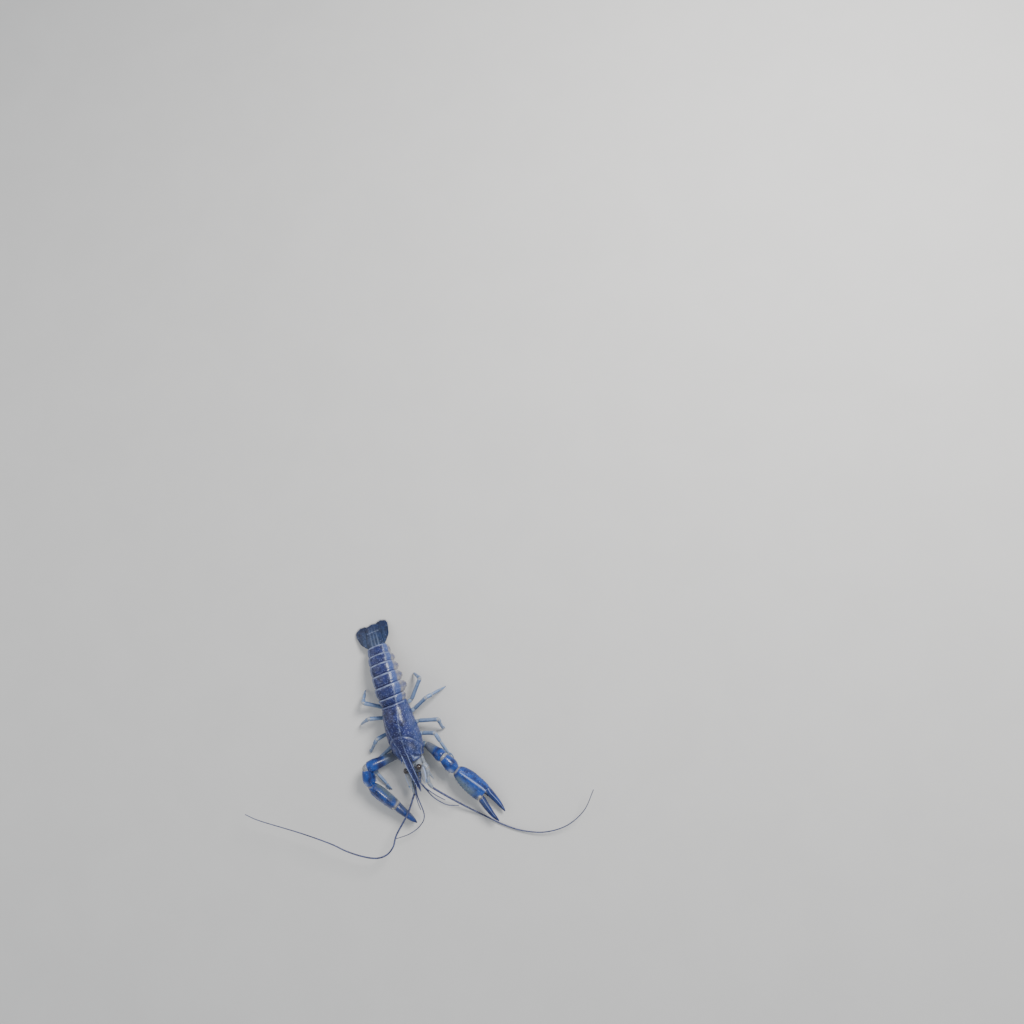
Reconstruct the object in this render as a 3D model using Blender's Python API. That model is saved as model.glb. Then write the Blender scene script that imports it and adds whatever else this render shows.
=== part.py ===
"""A life-size still model of a freshwater crayfish, standing with one claw reached out and one folded in.

The animal faces -Y, its left side is +X and the floor is z = 0. Sizes are in millimetres and become
metres when a mesh is made. The trunk leans a little to its right, and the tail bends right and down.
"""

import math

import bmesh
import bpy
from mathutils import Matrix, Vector

MM = 0.001
GAP = 0.3

# Trunk, measured along Y from the dorsal point of the cervical groove
CARAPACE_BACK = 20.6
CARAPACE_FRONT = -19.0
GROOVE_Y = 0.0
GROOVE_DEPTH = 0.55
GROOVE_SWEEP = 10.0
TRUNK_AXIS_Z = 12.0
TRUNK_LEAN = math.radians(-13.0)
TRUNK_TURN = math.radians(5.6)
TRUNK_SHIFT = Vector((-3.0, 0.0, 0.0))
BELLY_RECESS_Z = 9.0

# Rostrum
ROSTRUM_ROOT = -12.5
ROSTRUM_TIP = -39.6
ROSTRUM_HALF_WIDTH = 2.5
ROSTRUM_SPINES = (-29.5, -32.6, -35.4)

# Abdomen: lengths of its six rings, and how far the tail turns
RING_LENGTHS = (5.0, 8.0, 7.6, 7.2, 6.4, 6.4)
ABDOMEN_START = CARAPACE_BACK + GAP
TAIL_TURN = math.radians(1.0)
TAIL_TURN_BY = 9.0
TAIL_DROP = math.radians(17.0)
TAIL_DROP_FROM = 6.0

# Tail fan
TELSON_LENGTH = 18.6
ENDOPOD_LENGTH = 17.4
EXOPOD_LENGTH = 16.6
# How far from the middle each blade starts and how many degrees it turns out; the left pair is folded in
FAN = {
    "left": {"inner": (4.8, 1.0), "outer": (5.4, 4.0)},
    "right": {"inner": (5.0, 6.0), "outer": (6.4, 12.0)},
}

# Sternum and limb roots
STERNUM_HALF_WIDTH = 3.6
STERNUM_FRONT = -14.0
STERNUM_BACK = 20.8
STERNUM_TOP = BELLY_RECESS_Z - GAP
STERNUM_BOTTOM = 4.6
LIMB_ROOT_X = STERNUM_HALF_WIDTH + GAP

# Walking legs: root and hip along the sternum, then the knee and the foot on the floor
LEGS = {
    "leg_2_left": {"root": -4.6, "hip": -5.2, "knee": (18.0, -5.4, 12.0), "foot": (23.1, -27.7), "arch": 0.8},
    "leg_3_left": {"root": 3.4, "hip": 3.6, "knee": (22.9, 2.8, 12.5), "foot": (21.6, -6.0), "arch": 1.1},
    "leg_4_left": {"root": 10.8, "hip": 12.4, "knee": (17.8, 19.0, 12.0), "foot": (30.2, 21.8), "arch": 1.1},
    "leg_5_left": {"root": 17.2, "hip": 19.0, "knee": (16.8, 32.8, 12.0), "foot": (10.2, 36.8), "arch": 1.0},
    "leg_2_right": {"root": -4.6, "hip": -4.4, "knee": (-33.6, -17.4, 4.8), "foot": (-24.3, -36.9), "arch": 0.0},
    "leg_3_right": {"root": 3.4, "hip": 3.4, "knee": (-23.0, 0.3, 11.5), "foot": (-33.6, -9.2), "arch": 1.1},
    "leg_4_right": {"root": 10.8, "hip": 12.0, "knee": (-25.4, 15.0, 11.8), "foot": (-36.0, 11.6), "arch": 1.1},
    "leg_5_right": {"root": 17.2, "hip": 18.6, "knee": (-27.0, 26.4, 11.0), "foot": (-27.1, 33.7), "arch": 1.1},
}
HIP_OUT, HIP_Z = 10.0, 5.1
PINCER_LEGS = ("leg_2", "leg_3")

# Chelipeds: root, hip, elbow (merus to carpus), wrist (carpus to palm) and the axis of the hand
CLAWS = {
    "left": {
        "elbow": (19.7, -22.1, 12.0), "wrist": (25.9, -32.8, 10.4),
        "reach": (50.3, -68.3, 3.4), "edge_down": math.radians(28.0), "open": math.radians(13.0), "size": 1.0,
    },
    "right": {
        "elbow": (-33.7, -16.3, 13.0), "wrist": (-34.5, -28.3, 10.4),
        "reach": (-11.2, -60.5, 3.6), "edge_down": math.radians(72.0), "open": math.radians(1.5), "size": 0.92,
    },
}
CLAW_HIP_OUT, CLAW_HIP_Y, CLAW_HIP_Z = 9.4, -13.0, 4.7
CLAW_ROOT_Y = -11.2
PALM_LENGTH = 24.0
FIXED_FINGER_LENGTH = 19.7
DACTYL_LENGTH = 19.8
HINGE_INWARD = 3.3

# Feelers: the points each long flagellum passes through, from the tip of its peduncle
FEELER_ROUTES = {
    "left": ((6.8, -40.3, 9.0), (10.4, -44.0, 8.4), (19.1, -52.9, 6.0), (29.4, -63.0, 2.8), (37.3, -69.8, 1.3),
             (46.0, -76.6, 1.1), (58.0, -83.4, 1.6), (73.0, -87.4, 3.2), (89.0, -86.0, 5.6), (103.0, -78.6, 8.4),
             (113.0, -66.6, 11.0)),
    "right": ((-5.9, -40.6, 10.0), (-12.8, -51.5, 12.0), (-23.3, -62.8, 13.5), (-27.0, -69.3, 14.2),
              (-32.2, -73.0, 15.0), (-39.5, -73.3, 15.6), (-48.7, -69.5, 16.4), (-58.3, -63.7, 17.0),
              (-67.7, -56.5, 17.6), (-86.2, -44.9, 18.6), (-111.7, -30.6, 19.6), (-121.0, -24.0, 20.0)),
}
FEELER_RADIUS = 0.75
FEELER_TIP_RADIUS = 0.26
FEELER_LENGTHS = 3

# The whole model is shifted so that the middle of its outline on the floor is the origin
ORIGIN_SHIFT = Vector((4.0, 3.8, 0.0))

COLOURS = {
    "shell": ((0.060, 0.075, 0.30), 0.30),
    "claw": ((0.045, 0.13, 0.46), 0.28),
    "leg": ((0.19, 0.32, 0.60), 0.35),
    "feeler": ((0.10, 0.17, 0.42), 0.40),
    "tail": ((0.050, 0.085, 0.27), 0.32),
    "under": ((0.42, 0.43, 0.42), 0.45),
    "eye": ((0.012, 0.009, 0.012), 0.08),
}


def clear_scene():
    for obj in list(bpy.data.objects):
        bpy.data.objects.remove(obj)


def make_finishes():
    """One Principled material for each colour group."""
    made = {}
    for name, (colour, roughness) in COLOURS.items():
        material = bpy.data.materials.new(name)
        material.use_nodes = True
        shader = material.node_tree.nodes["Principled BSDF"]
        shader.inputs["Base Color"].default_value = (*colour, 1.0)
        shader.inputs["Roughness"].default_value = roughness
        shader.inputs["Metallic"].default_value = 0.0
        made[name] = material
    return made


def lerp(a, b, t):
    return a + (b - a) * t


def smooth(t):
    t = max(0.0, min(1.0, t))
    return t * t * (3.0 - 2.0 * t)


def eased(value, stops):
    """The value of a smooth curve through stops, a list of (position, size) in rising position."""
    if value <= stops[0][0]:
        return stops[0][1]
    for (x0, y0), (x1, y1) in zip(stops, stops[1:]):
        if value <= x1:
            return lerp(y0, y1, smooth((value - x0) / (x1 - x0)))
    return stops[-1][1]


def through(points, count):
    """count points spaced evenly on a smooth curve through the given points."""
    fine = []
    padded = [points[0] * 2 - points[1], *points, points[-1] * 2 - points[-2]]
    for p0, p1, p2, p3 in zip(padded, padded[1:], padded[2:], padded[3:]):
        for step in range(16):
            t = step / 16.0
            fine.append(
                0.5 * ((2 * p1) + (p2 - p0) * t + (2 * p0 - 5 * p1 + 4 * p2 - p3) * t ** 2
                       + (3 * p1 - p0 - 3 * p2 + p3) * t ** 3)
            )
    fine.append(points[-1].copy())
    lengths = [0.0]
    for a, b in zip(fine, fine[1:]):
        lengths.append(lengths[-1] + (b - a).length)
    spaced, index = [], 0
    for step in range(count):
        target = lengths[-1] * step / (count - 1)
        while index < len(fine) - 2 and lengths[index + 1] < target:
            index += 1
        span = lengths[index + 1] - lengths[index]
        spaced.append(fine[index].lerp(fine[index + 1], (target - lengths[index]) / span))
    return spaced


def skin(rings):
    """A closed mesh over rings of points, each ring with the same count, with flat ends."""
    bm = bmesh.new()
    rows = [[bm.verts.new(point) for point in ring] for ring in rings]
    count = len(rows[0])
    for a, b in zip(rows, rows[1:]):
        for i in range(count):
            j = (i + 1) % count
            bm.faces.new((a[i], a[j], b[j], b[i]))
    bm.faces.new(rows[0])
    bm.faces.new(list(reversed(rows[-1])))
    bmesh.ops.recalc_face_normals(bm, faces=bm.faces)
    return bm


def finished(name, bm, finish, smooth_angle=40.0):
    """An object of that mesh, in metres, shifted to the model's origin."""
    bmesh.ops.transform(bm, matrix=Matrix.Scale(MM, 4) @ Matrix.Translation(ORIGIN_SHIFT), verts=bm.verts)
    mesh = bpy.data.meshes.new(name)
    bm.to_mesh(mesh)
    bm.free()
    mesh.materials.append(FINISHES[finish])
    obj = bpy.data.objects.new(name, mesh)
    PARTS.objects.link(obj)
    mesh.shade_smooth()
    mesh.set_sharp_from_angle(angle=math.radians(smooth_angle))
    return obj


def across(direction, up):
    """Side and up vectors square to a direction."""
    direction = direction.normalized()
    side = direction.cross(up)
    side = side.normalized() if side.length > 1e-6 else direction.orthogonal().normalized()
    return side, side.cross(direction).normalized()


def oval(centre, direction, up, half_side, half_up, sides, squareness=1.0):
    """A ring of points square to a direction, an oval that grows boxy as squareness falls under 1."""
    side, over = across(direction, up)
    ring = []
    for i in range(sides):
        angle = 2.0 * math.pi * (i + 0.5) / sides
        c, s = math.cos(angle), math.sin(angle)
        x = math.copysign(abs(c) ** squareness, c) * half_side
        z = math.copysign(abs(s) ** squareness, s) * half_up
        ring.append(centre + side * x + over * z)
    return ring


def sweep(stations, sides, up=Vector((0, 0, 1)), start=None, end=None):
    """Rings along stations, a list of (point, half side, half up). Each ring splits the bend at its point,
    and start and end replace the direction at the two ends."""
    points = [station[0] for station in stations]
    rings = []
    for i, (point, half_side, half_up) in enumerate(stations):
        ahead = (points[i + 1] - point).normalized() if i + 1 < len(points) else Vector()
        behind = (point - points[i - 1]).normalized() if i else Vector()
        direction = ahead + behind
        if i == 0 and start is not None:
            direction = start
        if i == len(points) - 1 and end is not None:
            direction = end
        rings.append(oval(point, direction, up, half_side, half_up, sides))
    return rings


def joint_direction(before, at, after):
    """The direction in which a limb crosses the joint between two of its lengths."""
    return ((at - before).normalized() + (after - at).normalized()).normalized()


# Share of a limb segment's length, and share of its thickness there
SEGMENT_SHAPE = ((0.0, 0.74), (0.14, 0.98), (0.5, 0.92), (0.86, 1.0), (1.0, 0.78))


def segment(a, b, thick_a, thick_b, flat=1.0, shape=SEGMENT_SHAPE):
    """Stations of one limb segment from joint a to joint b, narrow at both joints."""
    return [
        (a.lerp(b, t), lerp(thick_a, thick_b, t) * share * flat, lerp(thick_a, thick_b, t) * share)
        for t, share in shape
    ]


def joined(*parts):
    """Stations of several segments in a row, one ring at each joint between them."""
    whole = list(parts[0])
    for part in parts[1:]:
        whole += part[1:]
    return whole


def stop_short(stations, first=0.0, last=0.0, start=None, end=None):
    """The same stations with the two end rings moved inwards, to leave a gap at a joint."""
    moved = list(stations)
    if first:
        point, *sizes = moved[0]
        moved[0] = (point + start * first, *sizes)
    if last:
        point, *sizes = moved[-1]
        moved[-1] = (point - end * last, *sizes)
    return moved


def spike(base, tip, radius, sides=5):
    """A closed cone from base to tip."""
    bm = bmesh.new()
    axis = tip - base
    place = Matrix.Translation((base + tip) / 2) @ axis.to_track_quat("Z", "Y").to_matrix().to_4x4()
    bmesh.ops.create_cone(bm, cap_ends=True, segments=sides, radius1=radius, radius2=radius * 0.16,
                          depth=axis.length, matrix=place)
    return bm


def tube_curve(name, points, radii):
    """A bevelled curve through the points, in metres at the model's origin, with its own radius at each point."""
    curve = bpy.data.curves.new(name, "CURVE")
    curve.dimensions = "3D"
    curve.bevel_depth = MM
    curve.bevel_resolution = 1
    curve.use_fill_caps = True
    spline = curve.splines.new("POLY")
    spline.points.add(len(points) - 1)
    for knot, point, radius in zip(spline.points, points, radii):
        knot.co = (*((point + ORIGIN_SHIFT) * MM), 1.0)
        knot.radius = radius
    return bpy.data.objects.new(name, curve)


def tube(points, radii):
    """The closed mesh of such a curve, in millimetres before the shift, ready to be fused to a body."""
    obj = tube_curve("tube", points, radii)
    bpy.context.scene.collection.objects.link(obj)
    graph = bpy.context.evaluated_depsgraph_get()
    mesh = bpy.data.meshes.new_from_object(obj.evaluated_get(graph))
    bm = bmesh.new()
    bm.from_mesh(mesh)
    bmesh.ops.remove_doubles(bm, verts=bm.verts, dist=1e-7)
    bmesh.ops.transform(bm, matrix=Matrix.Translation(-ORIGIN_SHIFT) @ Matrix.Scale(1 / MM, 4), verts=bm.verts)
    bpy.data.meshes.remove(mesh)
    bpy.data.objects.remove(obj)
    return bm


def fused(name, finish, base, extras, smooth_angle=40.0):
    """One closed body made of a base mesh and the pieces that grow from it."""
    obj = finished(name, base, finish, smooth_angle)
    growing = bpy.data.collections.new(name + "_growths")
    bpy.context.scene.collection.children.link(growing)
    for i, extra in enumerate(extras):
        piece = finished(f"{name}_growth_{i}", extra, finish)
        PARTS.objects.unlink(piece)
        growing.objects.link(piece)
    union = obj.modifiers.new("growths", "BOOLEAN")
    union.operation = "UNION"
    union.operand_type = "COLLECTION"
    union.collection = growing
    union.solver = "MANIFOLD"
    graph = bpy.context.evaluated_depsgraph_get()
    mesh = bpy.data.meshes.new_from_object(obj.evaluated_get(graph))
    obj.modifiers.clear()
    obj.data = mesh
    for piece in list(growing.objects):
        bpy.data.objects.remove(piece)
    bpy.data.collections.remove(growing)
    keep_largest(mesh)
    mesh.shade_smooth()
    mesh.set_sharp_from_angle(angle=math.radians(smooth_angle))
    return obj


def keep_largest(mesh):
    """Drops all but the largest closed surface of a mesh."""
    bm = bmesh.new()
    bm.from_mesh(mesh)
    bm.verts.ensure_lookup_table()
    seen, shells = set(), []
    for vert in bm.verts:
        if vert.index in seen:
            continue
        shell, queue = [], [vert]
        seen.add(vert.index)
        while queue:
            current = queue.pop()
            shell.append(current)
            for edge in current.link_edges:
                other = edge.other_vert(current)
                if other.index not in seen:
                    seen.add(other.index)
                    queue.append(other)
        shells.append(shell)
    shells.sort(key=len)
    for shell in shells[:-1]:
        bmesh.ops.delete(bm, geom=shell, context="VERTS")
    bm.to_mesh(mesh)
    bm.free()


def cut_at_floor(bm, level=0.0):
    """Takes off what reaches below the floor and closes the cut, which leaves a small flat there."""
    geometry = list(bm.verts) + list(bm.edges) + list(bm.faces)
    bmesh.ops.bisect_plane(bm, geom=geometry, dist=1e-4, plane_co=(0, 0, level), plane_no=(0, 0, -1),
                           clear_outer=True)
    rim = [edge for edge in bm.edges if edge.is_boundary]
    if rim:
        bmesh.ops.holes_fill(bm, edges=rim)
    return bm


def trunk():
    """Places a point of the upright trunk where it stands, leaning to its right."""
    pivot = Vector((0, 0, TRUNK_AXIS_Z))
    stand = Matrix.Translation(pivot + TRUNK_SHIFT) @ Matrix.Rotation(TRUNK_TURN, 4, "Z")
    return stand @ Matrix.Rotation(TRUNK_LEAN, 4, "Y") @ Matrix.Translation(-pivot)


# Carapace

HALF_WIDTH = ((-19.0, 6.1), (-12.0, 8.5), (-3.0, 10.3), (6.0, 10.9), (14.0, 9.8), (20.6, 8.5))
TOP_Z = ((-19.0, 18.2), (-10.0, 21.2), (0.0, 23.2), (9.0, 23.8), (20.6, 21.6))
MIDDLE_Z = ((-19.0, 12.6), (-5.0, 13.4), (20.6, 12.6))
EDGE_Z = ((-19.0, 9.0), (-10.0, 7.9), (0.0, 7.5), (20.6, 7.8))
SWEEP_SHARE = ((-19.0, 0.0), (-10.0, 0.55), (0.0, 1.0), (20.6, 0.0))
CARAPACE_STATIONS = (20.6, 20.0, 17.0, 12.5, 8.0, 4.0, 1.2, 0.0, -1.2, -4.0, -7.5, -11.0, -14.5, -17.4, -19.0)
ARCH_STEPS = 16


def carapace_ring(y):
    """The carapace's outline at one station: the arch, the two lower edges and the hollow of the belly."""
    width, top = eased(y, HALF_WIDTH), eased(y, TOP_Z)
    middle, edge = eased(y, MIDDLE_Z), eased(y, EDGE_Z)
    forward = GROOVE_SWEEP * eased(y, SWEEP_SHARE)
    groove = GROOVE_DEPTH if abs(y - GROOVE_Y) < 0.1 else 0.0
    ring = []
    for i in range(ARCH_STEPS + 1):
        angle = math.pi * (i / ARCH_STEPS - 0.5)
        s, c = math.sin(angle), math.cos(angle)
        x = math.copysign(abs(s) ** 0.92, s) * (width - groove)
        z = middle + (top - groove - middle) * c ** 0.86 if c > 1e-6 else middle
        ring.append(Vector((x, y - forward * (1.0 - c), z)))
    low_y = y - forward * 1.04
    inner_y = y - forward * 0.8
    recess = BELLY_RECESS_Z
    right_side = [
        Vector((width * 0.985, low_y, lerp(middle, edge, 0.55))),
        Vector((width * 0.90, low_y, edge)),
        Vector((width * 0.90 - 1.2, low_y, edge + 0.1)),
        Vector((width * 0.62, inner_y, recess)),
    ]
    left_side = [Vector((-p.x, p.y, p.z)) for p in reversed(right_side)]
    return ring + right_side + [Vector((0, inner_y, recess))] + left_side


def rostrum_ring(y):
    share = (y - ROSTRUM_ROOT) / (ROSTRUM_TIP - ROSTRUM_ROOT)
    width = eased(share, ((0.0, ROSTRUM_HALF_WIDTH), (0.6, ROSTRUM_HALF_WIDTH * 0.82), (0.88, 1.0), (1.0, 0.3)))
    top = eased(share, ((0.0, 20.0), (0.24, 19.0), (0.62, 16.6), (0.86, 15.3), (1.0, 15.0)))
    thick = eased(share, ((0.0, 2.4), (0.6, 1.5), (1.0, 0.5)))
    rim = 0.55 * min(1.0, width / 1.6)
    half = [(1.0, -0.25 * thick), (0.86, rim), (0.46, 0.05), (0.0, 0.0)]
    upper = [Vector((-width * a, y, top + b)) for a, b in half]
    upper += [Vector((width * a, y, top + b)) for a, b in reversed(half[:-1])]
    under = [Vector((width * 0.62, y, top - thick * 0.9)), Vector((-width * 0.62, y, top - thick * 0.9))]
    return upper + under


def rostrum_top(y):
    ring = rostrum_ring(y)
    return ring[1].z, abs(ring[0].x)


def make_carapace():
    base = skin([carapace_ring(y) for y in CARAPACE_STATIONS])
    shares = (0.0, 0.12, 0.24, 0.36, 0.48, 0.6, 0.72, 0.84, 0.93, 1.0)
    stations = [lerp(ROSTRUM_ROOT, ROSTRUM_TIP, share) for share in shares]
    growths = [skin([rostrum_ring(y) for y in stations])]
    for y in ROSTRUM_SPINES:
        z, width = rostrum_top(y)
        for side in (-1, 1):
            root = Vector((side * (width - 0.5), y, z - 0.35))
            growths.append(spike(root, root + Vector((side * 0.95, -1.5, 0.5)), 0.42))
    for side in (-1, 1):
        growths.append(spike(Vector((side * 4.3, -14.6, 18.3)), Vector((side * 4.6, -18.6, 19.1)), 0.75))
    for growth in growths:
        bmesh.ops.transform(growth, matrix=trunk(), verts=growth.verts)
    bmesh.ops.transform(base, matrix=trunk(), verts=base.verts)
    fused("carapace", "shell", base, growths)


def make_sternum():
    """The plate between the limb roots, with a low keel."""
    rings = []
    for y, share in ((STERNUM_FRONT, 0.92), (STERNUM_FRONT + 2.0, 1.0), (0.0, 1.0), (STERNUM_BACK - 2.0, 1.0),
                     (STERNUM_BACK, 0.9)):
        low = lerp(STERNUM_TOP, STERNUM_BOTTOM, share)
        w = STERNUM_HALF_WIDTH
        outline = ((-w, STERNUM_TOP), (w, STERNUM_TOP), (w, low + 0.9), (w * 0.5, low), (-w * 0.5, low),
                   (-w, low + 0.9))
        rings.append([Vector((x, y, z)) for x, z in outline])
    bm = skin(rings)
    bmesh.ops.transform(bm, matrix=trunk(), verts=bm.verts)
    finished("sternum", bm, "under")


# Abdomen

def tail_frame(distance):
    """The frame of the tail at a distance behind the carapace: Y runs back along the tail and Z is its top."""
    total = sum(RING_LENGTHS)
    step = 0.25
    place = trunk() @ Vector((0, ABDOMEN_START, TRUNK_AXIS_Z))
    walked = 0.0
    while True:
        turn = TRUNK_TURN + TAIL_TURN * smooth(walked / TAIL_TURN_BY)
        drop = TAIL_DROP * smooth((walked - TAIL_DROP_FROM) / (total - TAIL_DROP_FROM))
        rotation = Matrix.Rotation(turn, 4, "Z") @ Matrix.Rotation(-drop, 4, "X")
        if walked >= distance - 1e-9:
            break
        stride = min(step, distance - walked)
        place = place + rotation.to_3x3() @ Vector((0, stride, 0))
        walked += stride
    lean = TRUNK_LEAN * (1.0 - smooth(distance / total))
    return Matrix.Translation(place) @ rotation @ Matrix.Rotation(lean, 4, "Y")


# Share of a ring's length, its swell and how far its side lobe hangs
RING_SHAPE = ((0.0, 0.90, 0.10), (0.16, 0.955, 0.62), (0.42, 1.0, 0.98), (0.68, 1.01, 1.0), (0.88, 1.015, 0.66),
              (1.0, 1.0, 0.14))
TERGITE_STEPS = 12


def tergite_ring(frame, width, height, swell, lobe):
    """One ring of an abdomen segment: the arched back, the hanging side lobes and the soft belly."""
    ring = []
    for i in range(TERGITE_STEPS + 1):
        angle = math.pi * (i / TERGITE_STEPS - 0.5)
        s, c = math.sin(angle), math.cos(angle)
        x = math.copysign(abs(s) ** 0.9, s) * width * swell
        z = -0.6 + (height * swell + 0.6) * c ** 0.86 if c > 1e-6 else -0.6
        ring.append(Vector((x, 0, z)))
    hang = -1.6 - lobe
    flare = 0.10 * lobe
    side = [
        Vector((width * swell + flare, 0, hang)),
        Vector((width * swell + flare - 0.9, 0, hang)),
        Vector((width * 0.80, 0, -1.7)),
    ]
    other = [Vector((-p.x, 0, p.z)) for p in reversed(side)]
    return [frame @ p for p in ring + side + [Vector((0, 0, -2.3))] + other]


ABDOMEN_WIDTH = ((0.0, 8.7), (9.0, 10.0), (20.0, 9.4), (30.0, 8.8), (41.0, 7.5))
ABDOMEN_HEIGHT = ((0.0, 8.7), (10.0, 8.5), (24.0, 7.4), (41.0, 5.2))
LOBE_LENGTHS = (1.4, 4.8, 4.6, 4.2, 3.4, 1.6)


def swimmeret(frame, side, length):
    """A two-bladed swimmeret under one side of a ring."""
    root = Vector((side * 4.6, 0.0, -1.2))
    knee = root + Vector((side * 0.5, 0.6, -2.0))
    blades = []
    for splay in (-0.45, 0.5):
        tip = knee + Vector((side * splay * 1.8, length, -1.5))
        stations = [(frame @ knee.lerp(tip, t) + frame.to_3x3() @ Vector((side * splay * 0.9, 0, 0)), a, 0.32)
                    for t, a in ((0.0, 0.45), (0.35, 0.85), (0.75, 0.8), (1.0, 0.3))]
        blades.append(skin(sweep(stations, 6)))
    stem = skin(sweep([(frame @ (root + Vector((0, 0, 1.0))), 0.7, 0.7), (frame @ knee, 0.62, 0.62),
                       (frame @ (knee + Vector((0, 1.1, -0.35))), 0.95, 0.5)], 6))
    return [stem, *blades]


def make_abdomen():
    start = 0.0
    for number, length in enumerate(RING_LENGTHS, 1):
        rings = []
        first, last = start + (GAP / 2 if number > 1 else 0.0), start + length - GAP / 2
        for t, swell, lobe in RING_SHAPE:
            s = lerp(first, last, t)
            rings.append(tergite_ring(tail_frame(s), eased(s, ABDOMEN_WIDTH), eased(s, ABDOMEN_HEIGHT), swell,
                                      LOBE_LENGTHS[number - 1] * lobe))
        base = skin(rings)
        frame = tail_frame(start + length * 0.45)
        if 2 <= number <= 5:
            growths = swimmeret(frame, 1, length * 0.62) + swimmeret(frame, -1, length * 0.62)
            fused(f"abdomen_{number}", "shell", base, growths)
        else:
            finished(f"abdomen_{number}", base, "shell")
        start += length


# Tail fan

def plate(frame, length, widths, thicks, lift=0.0, ridge=0.35, curl=0.0):
    """A blade that runs back along Y: widths and thicks are stops along its length, with a low middle ridge."""
    rings = []
    for t in (0.0, 0.07, 0.2, 0.42, 0.64, 0.82, 0.93, 0.985, 1.0):
        w, h = eased(t, widths), eased(t, thicks) / 2
        crest = ridge * math.sin(math.pi * min(1.0, t * 0.8 + 0.12))
        outline = ((-w, 0.0), (-w * 0.9, h * 0.8), (-w * 0.45, h), (-w * 0.16, h), (0.0, h + crest),
                   (w * 0.16, h), (w * 0.45, h), (w * 0.9, h * 0.8), (w, 0.0), (w * 0.9, -h * 0.8),
                   (w * 0.4, -h), (-w * 0.4, -h), (-w * 0.9, -h * 0.8))
        rings.append([frame @ Vector((x, length * t, z + lift + curl * t * t)) for x, z in outline])
    return skin(rings)


def make_tail_fan():
    root = tail_frame(sum(RING_LENGTHS))
    telson = plate(root @ Matrix.Translation((0, GAP / 2, 1.7)), TELSON_LENGTH,
                   ((0.0, 5.4), (0.2, 5.8), (0.7, 5.0), (0.9, 4.3), (1.0, 3.0)), ((0.0, 1.5), (1.0, 0.8)))
    growths = []
    for side in (-1, 1):
        base = root @ Vector((side * 4.4, TELSON_LENGTH * 0.64, 1.7))
        growths.append(spike(base, base + root.to_3x3() @ Vector((side * 1.1, 1.7, 0.1)), 0.4))
    fused("telson", "tail", cut_at_floor(telson), growths)
    blade = ((0.0, 1.2), (0.12, 3.1), (0.4, 4.8), (0.78, 4.7), (0.94, 3.5), (1.0, 2.0))
    for side, word in ((1, "left"), (-1, "right")):
        (inner_out, inner_turn), (outer_out, outer_turn) = FAN[word]["inner"], FAN[word]["outer"]
        inner = (root @ Matrix.Translation((side * inner_out, 1.2, 0.22))
                 @ Matrix.Rotation(side * math.radians(-inner_turn), 4, "Z"))
        outer = (root @ Matrix.Translation((side * outer_out, 3.5, -1.05))
                 @ Matrix.Rotation(side * math.radians(-outer_turn), 4, "Z"))
        stem = [(root @ Vector((side * inner_out, y, -0.45)), 1.5, 1.05) for y in (GAP / 2, 1.4, 2.9)]
        inner_blade = plate(inner, ENDOPOD_LENGTH, blade, ((0.0, 0.8), (1.0, 0.6)), ridge=0.0, curl=0.3)
        back = root.to_3x3() @ Vector((0, 1, 0))
        fused(f"uropod_inner_{word}", "tail", cut_at_floor(inner_blade), [skin(sweep(stem, 8, start=back, end=back))])
        finished(f"uropod_outer_{word}", cut_at_floor(
            plate(outer, EXOPOD_LENGTH, blade, ((0.0, 0.8), (1.0, 0.7)), ridge=0.0, curl=0.4)), "tail")


# Head

HEAD_FRONT = -27.0


def make_head():
    """The front of the head under the rostrum, which carries the eyes and all four feelers."""
    rings = []
    stations = ((CARAPACE_FRONT - GAP, 4.6, 8.8, 13.2), (-21.5, 4.6, 8.0, 13.2), (-24.8, 4.4, 8.4, 13.0),
                (HEAD_FRONT, 3.4, 9.6, 12.8))
    for y, width, low, top in stations:
        outline = ((-width, low + 1.4), (-width, top - 0.6), (-width + 0.8, top), (width - 0.8, top),
                   (width, top - 0.6), (width, low + 1.4), (width * 0.5, low), (-width * 0.5, low))
        rings.append([Vector((x, y, z)) for x, z in outline])
    bm = skin(rings)
    bmesh.ops.transform(bm, matrix=trunk(), verts=bm.verts)
    finished("head", bm, "under")


EYE_RADIUS = 2.0


def make_eyes():
    for side, word in ((1, "left"), (-1, "right")):
        foot, neck = Vector((side * 2.4, -22.4, 13.5)), Vector((side * 3.2, -22.9, 15.1))
        look = Vector((side * 0.80, -0.42, 0.42)).normalized()
        crown = neck + look * 1.0
        stalk = [(foot, 1.0, 1.0), (foot.lerp(neck, 0.6), 0.95, 0.95), (neck, 1.05, 1.05), (crown, 1.3, 1.3)]
        bm = skin(sweep(stalk, 10, up=Vector((0, 1, 0)), start=Vector((0, 0, 1)), end=look))
        bmesh.ops.transform(bm, matrix=trunk(), verts=bm.verts)
        finished(f"eyestalk_{word}", bm, "under")
        centre = crown + look * (GAP + 0.95)
        ball = bmesh.new()
        place = Matrix.Translation(centre) @ look.to_track_quat("Z", "Y").to_matrix().to_4x4()
        bmesh.ops.create_uvsphere(ball, u_segments=14, v_segments=10, radius=EYE_RADIUS, matrix=place)
        back = crown + look * GAP
        bmesh.ops.bisect_plane(ball, geom=list(ball.verts) + list(ball.edges) + list(ball.faces), dist=1e-4,
                               plane_co=back, plane_no=-look, clear_outer=True)
        bmesh.ops.holes_fill(ball, edges=[edge for edge in ball.edges if edge.is_boundary])
        bmesh.ops.recalc_face_normals(ball, faces=ball.faces)
        bmesh.ops.transform(ball, matrix=trunk(), verts=ball.verts)
        finished(f"eye_{word}", ball, "eye")


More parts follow.
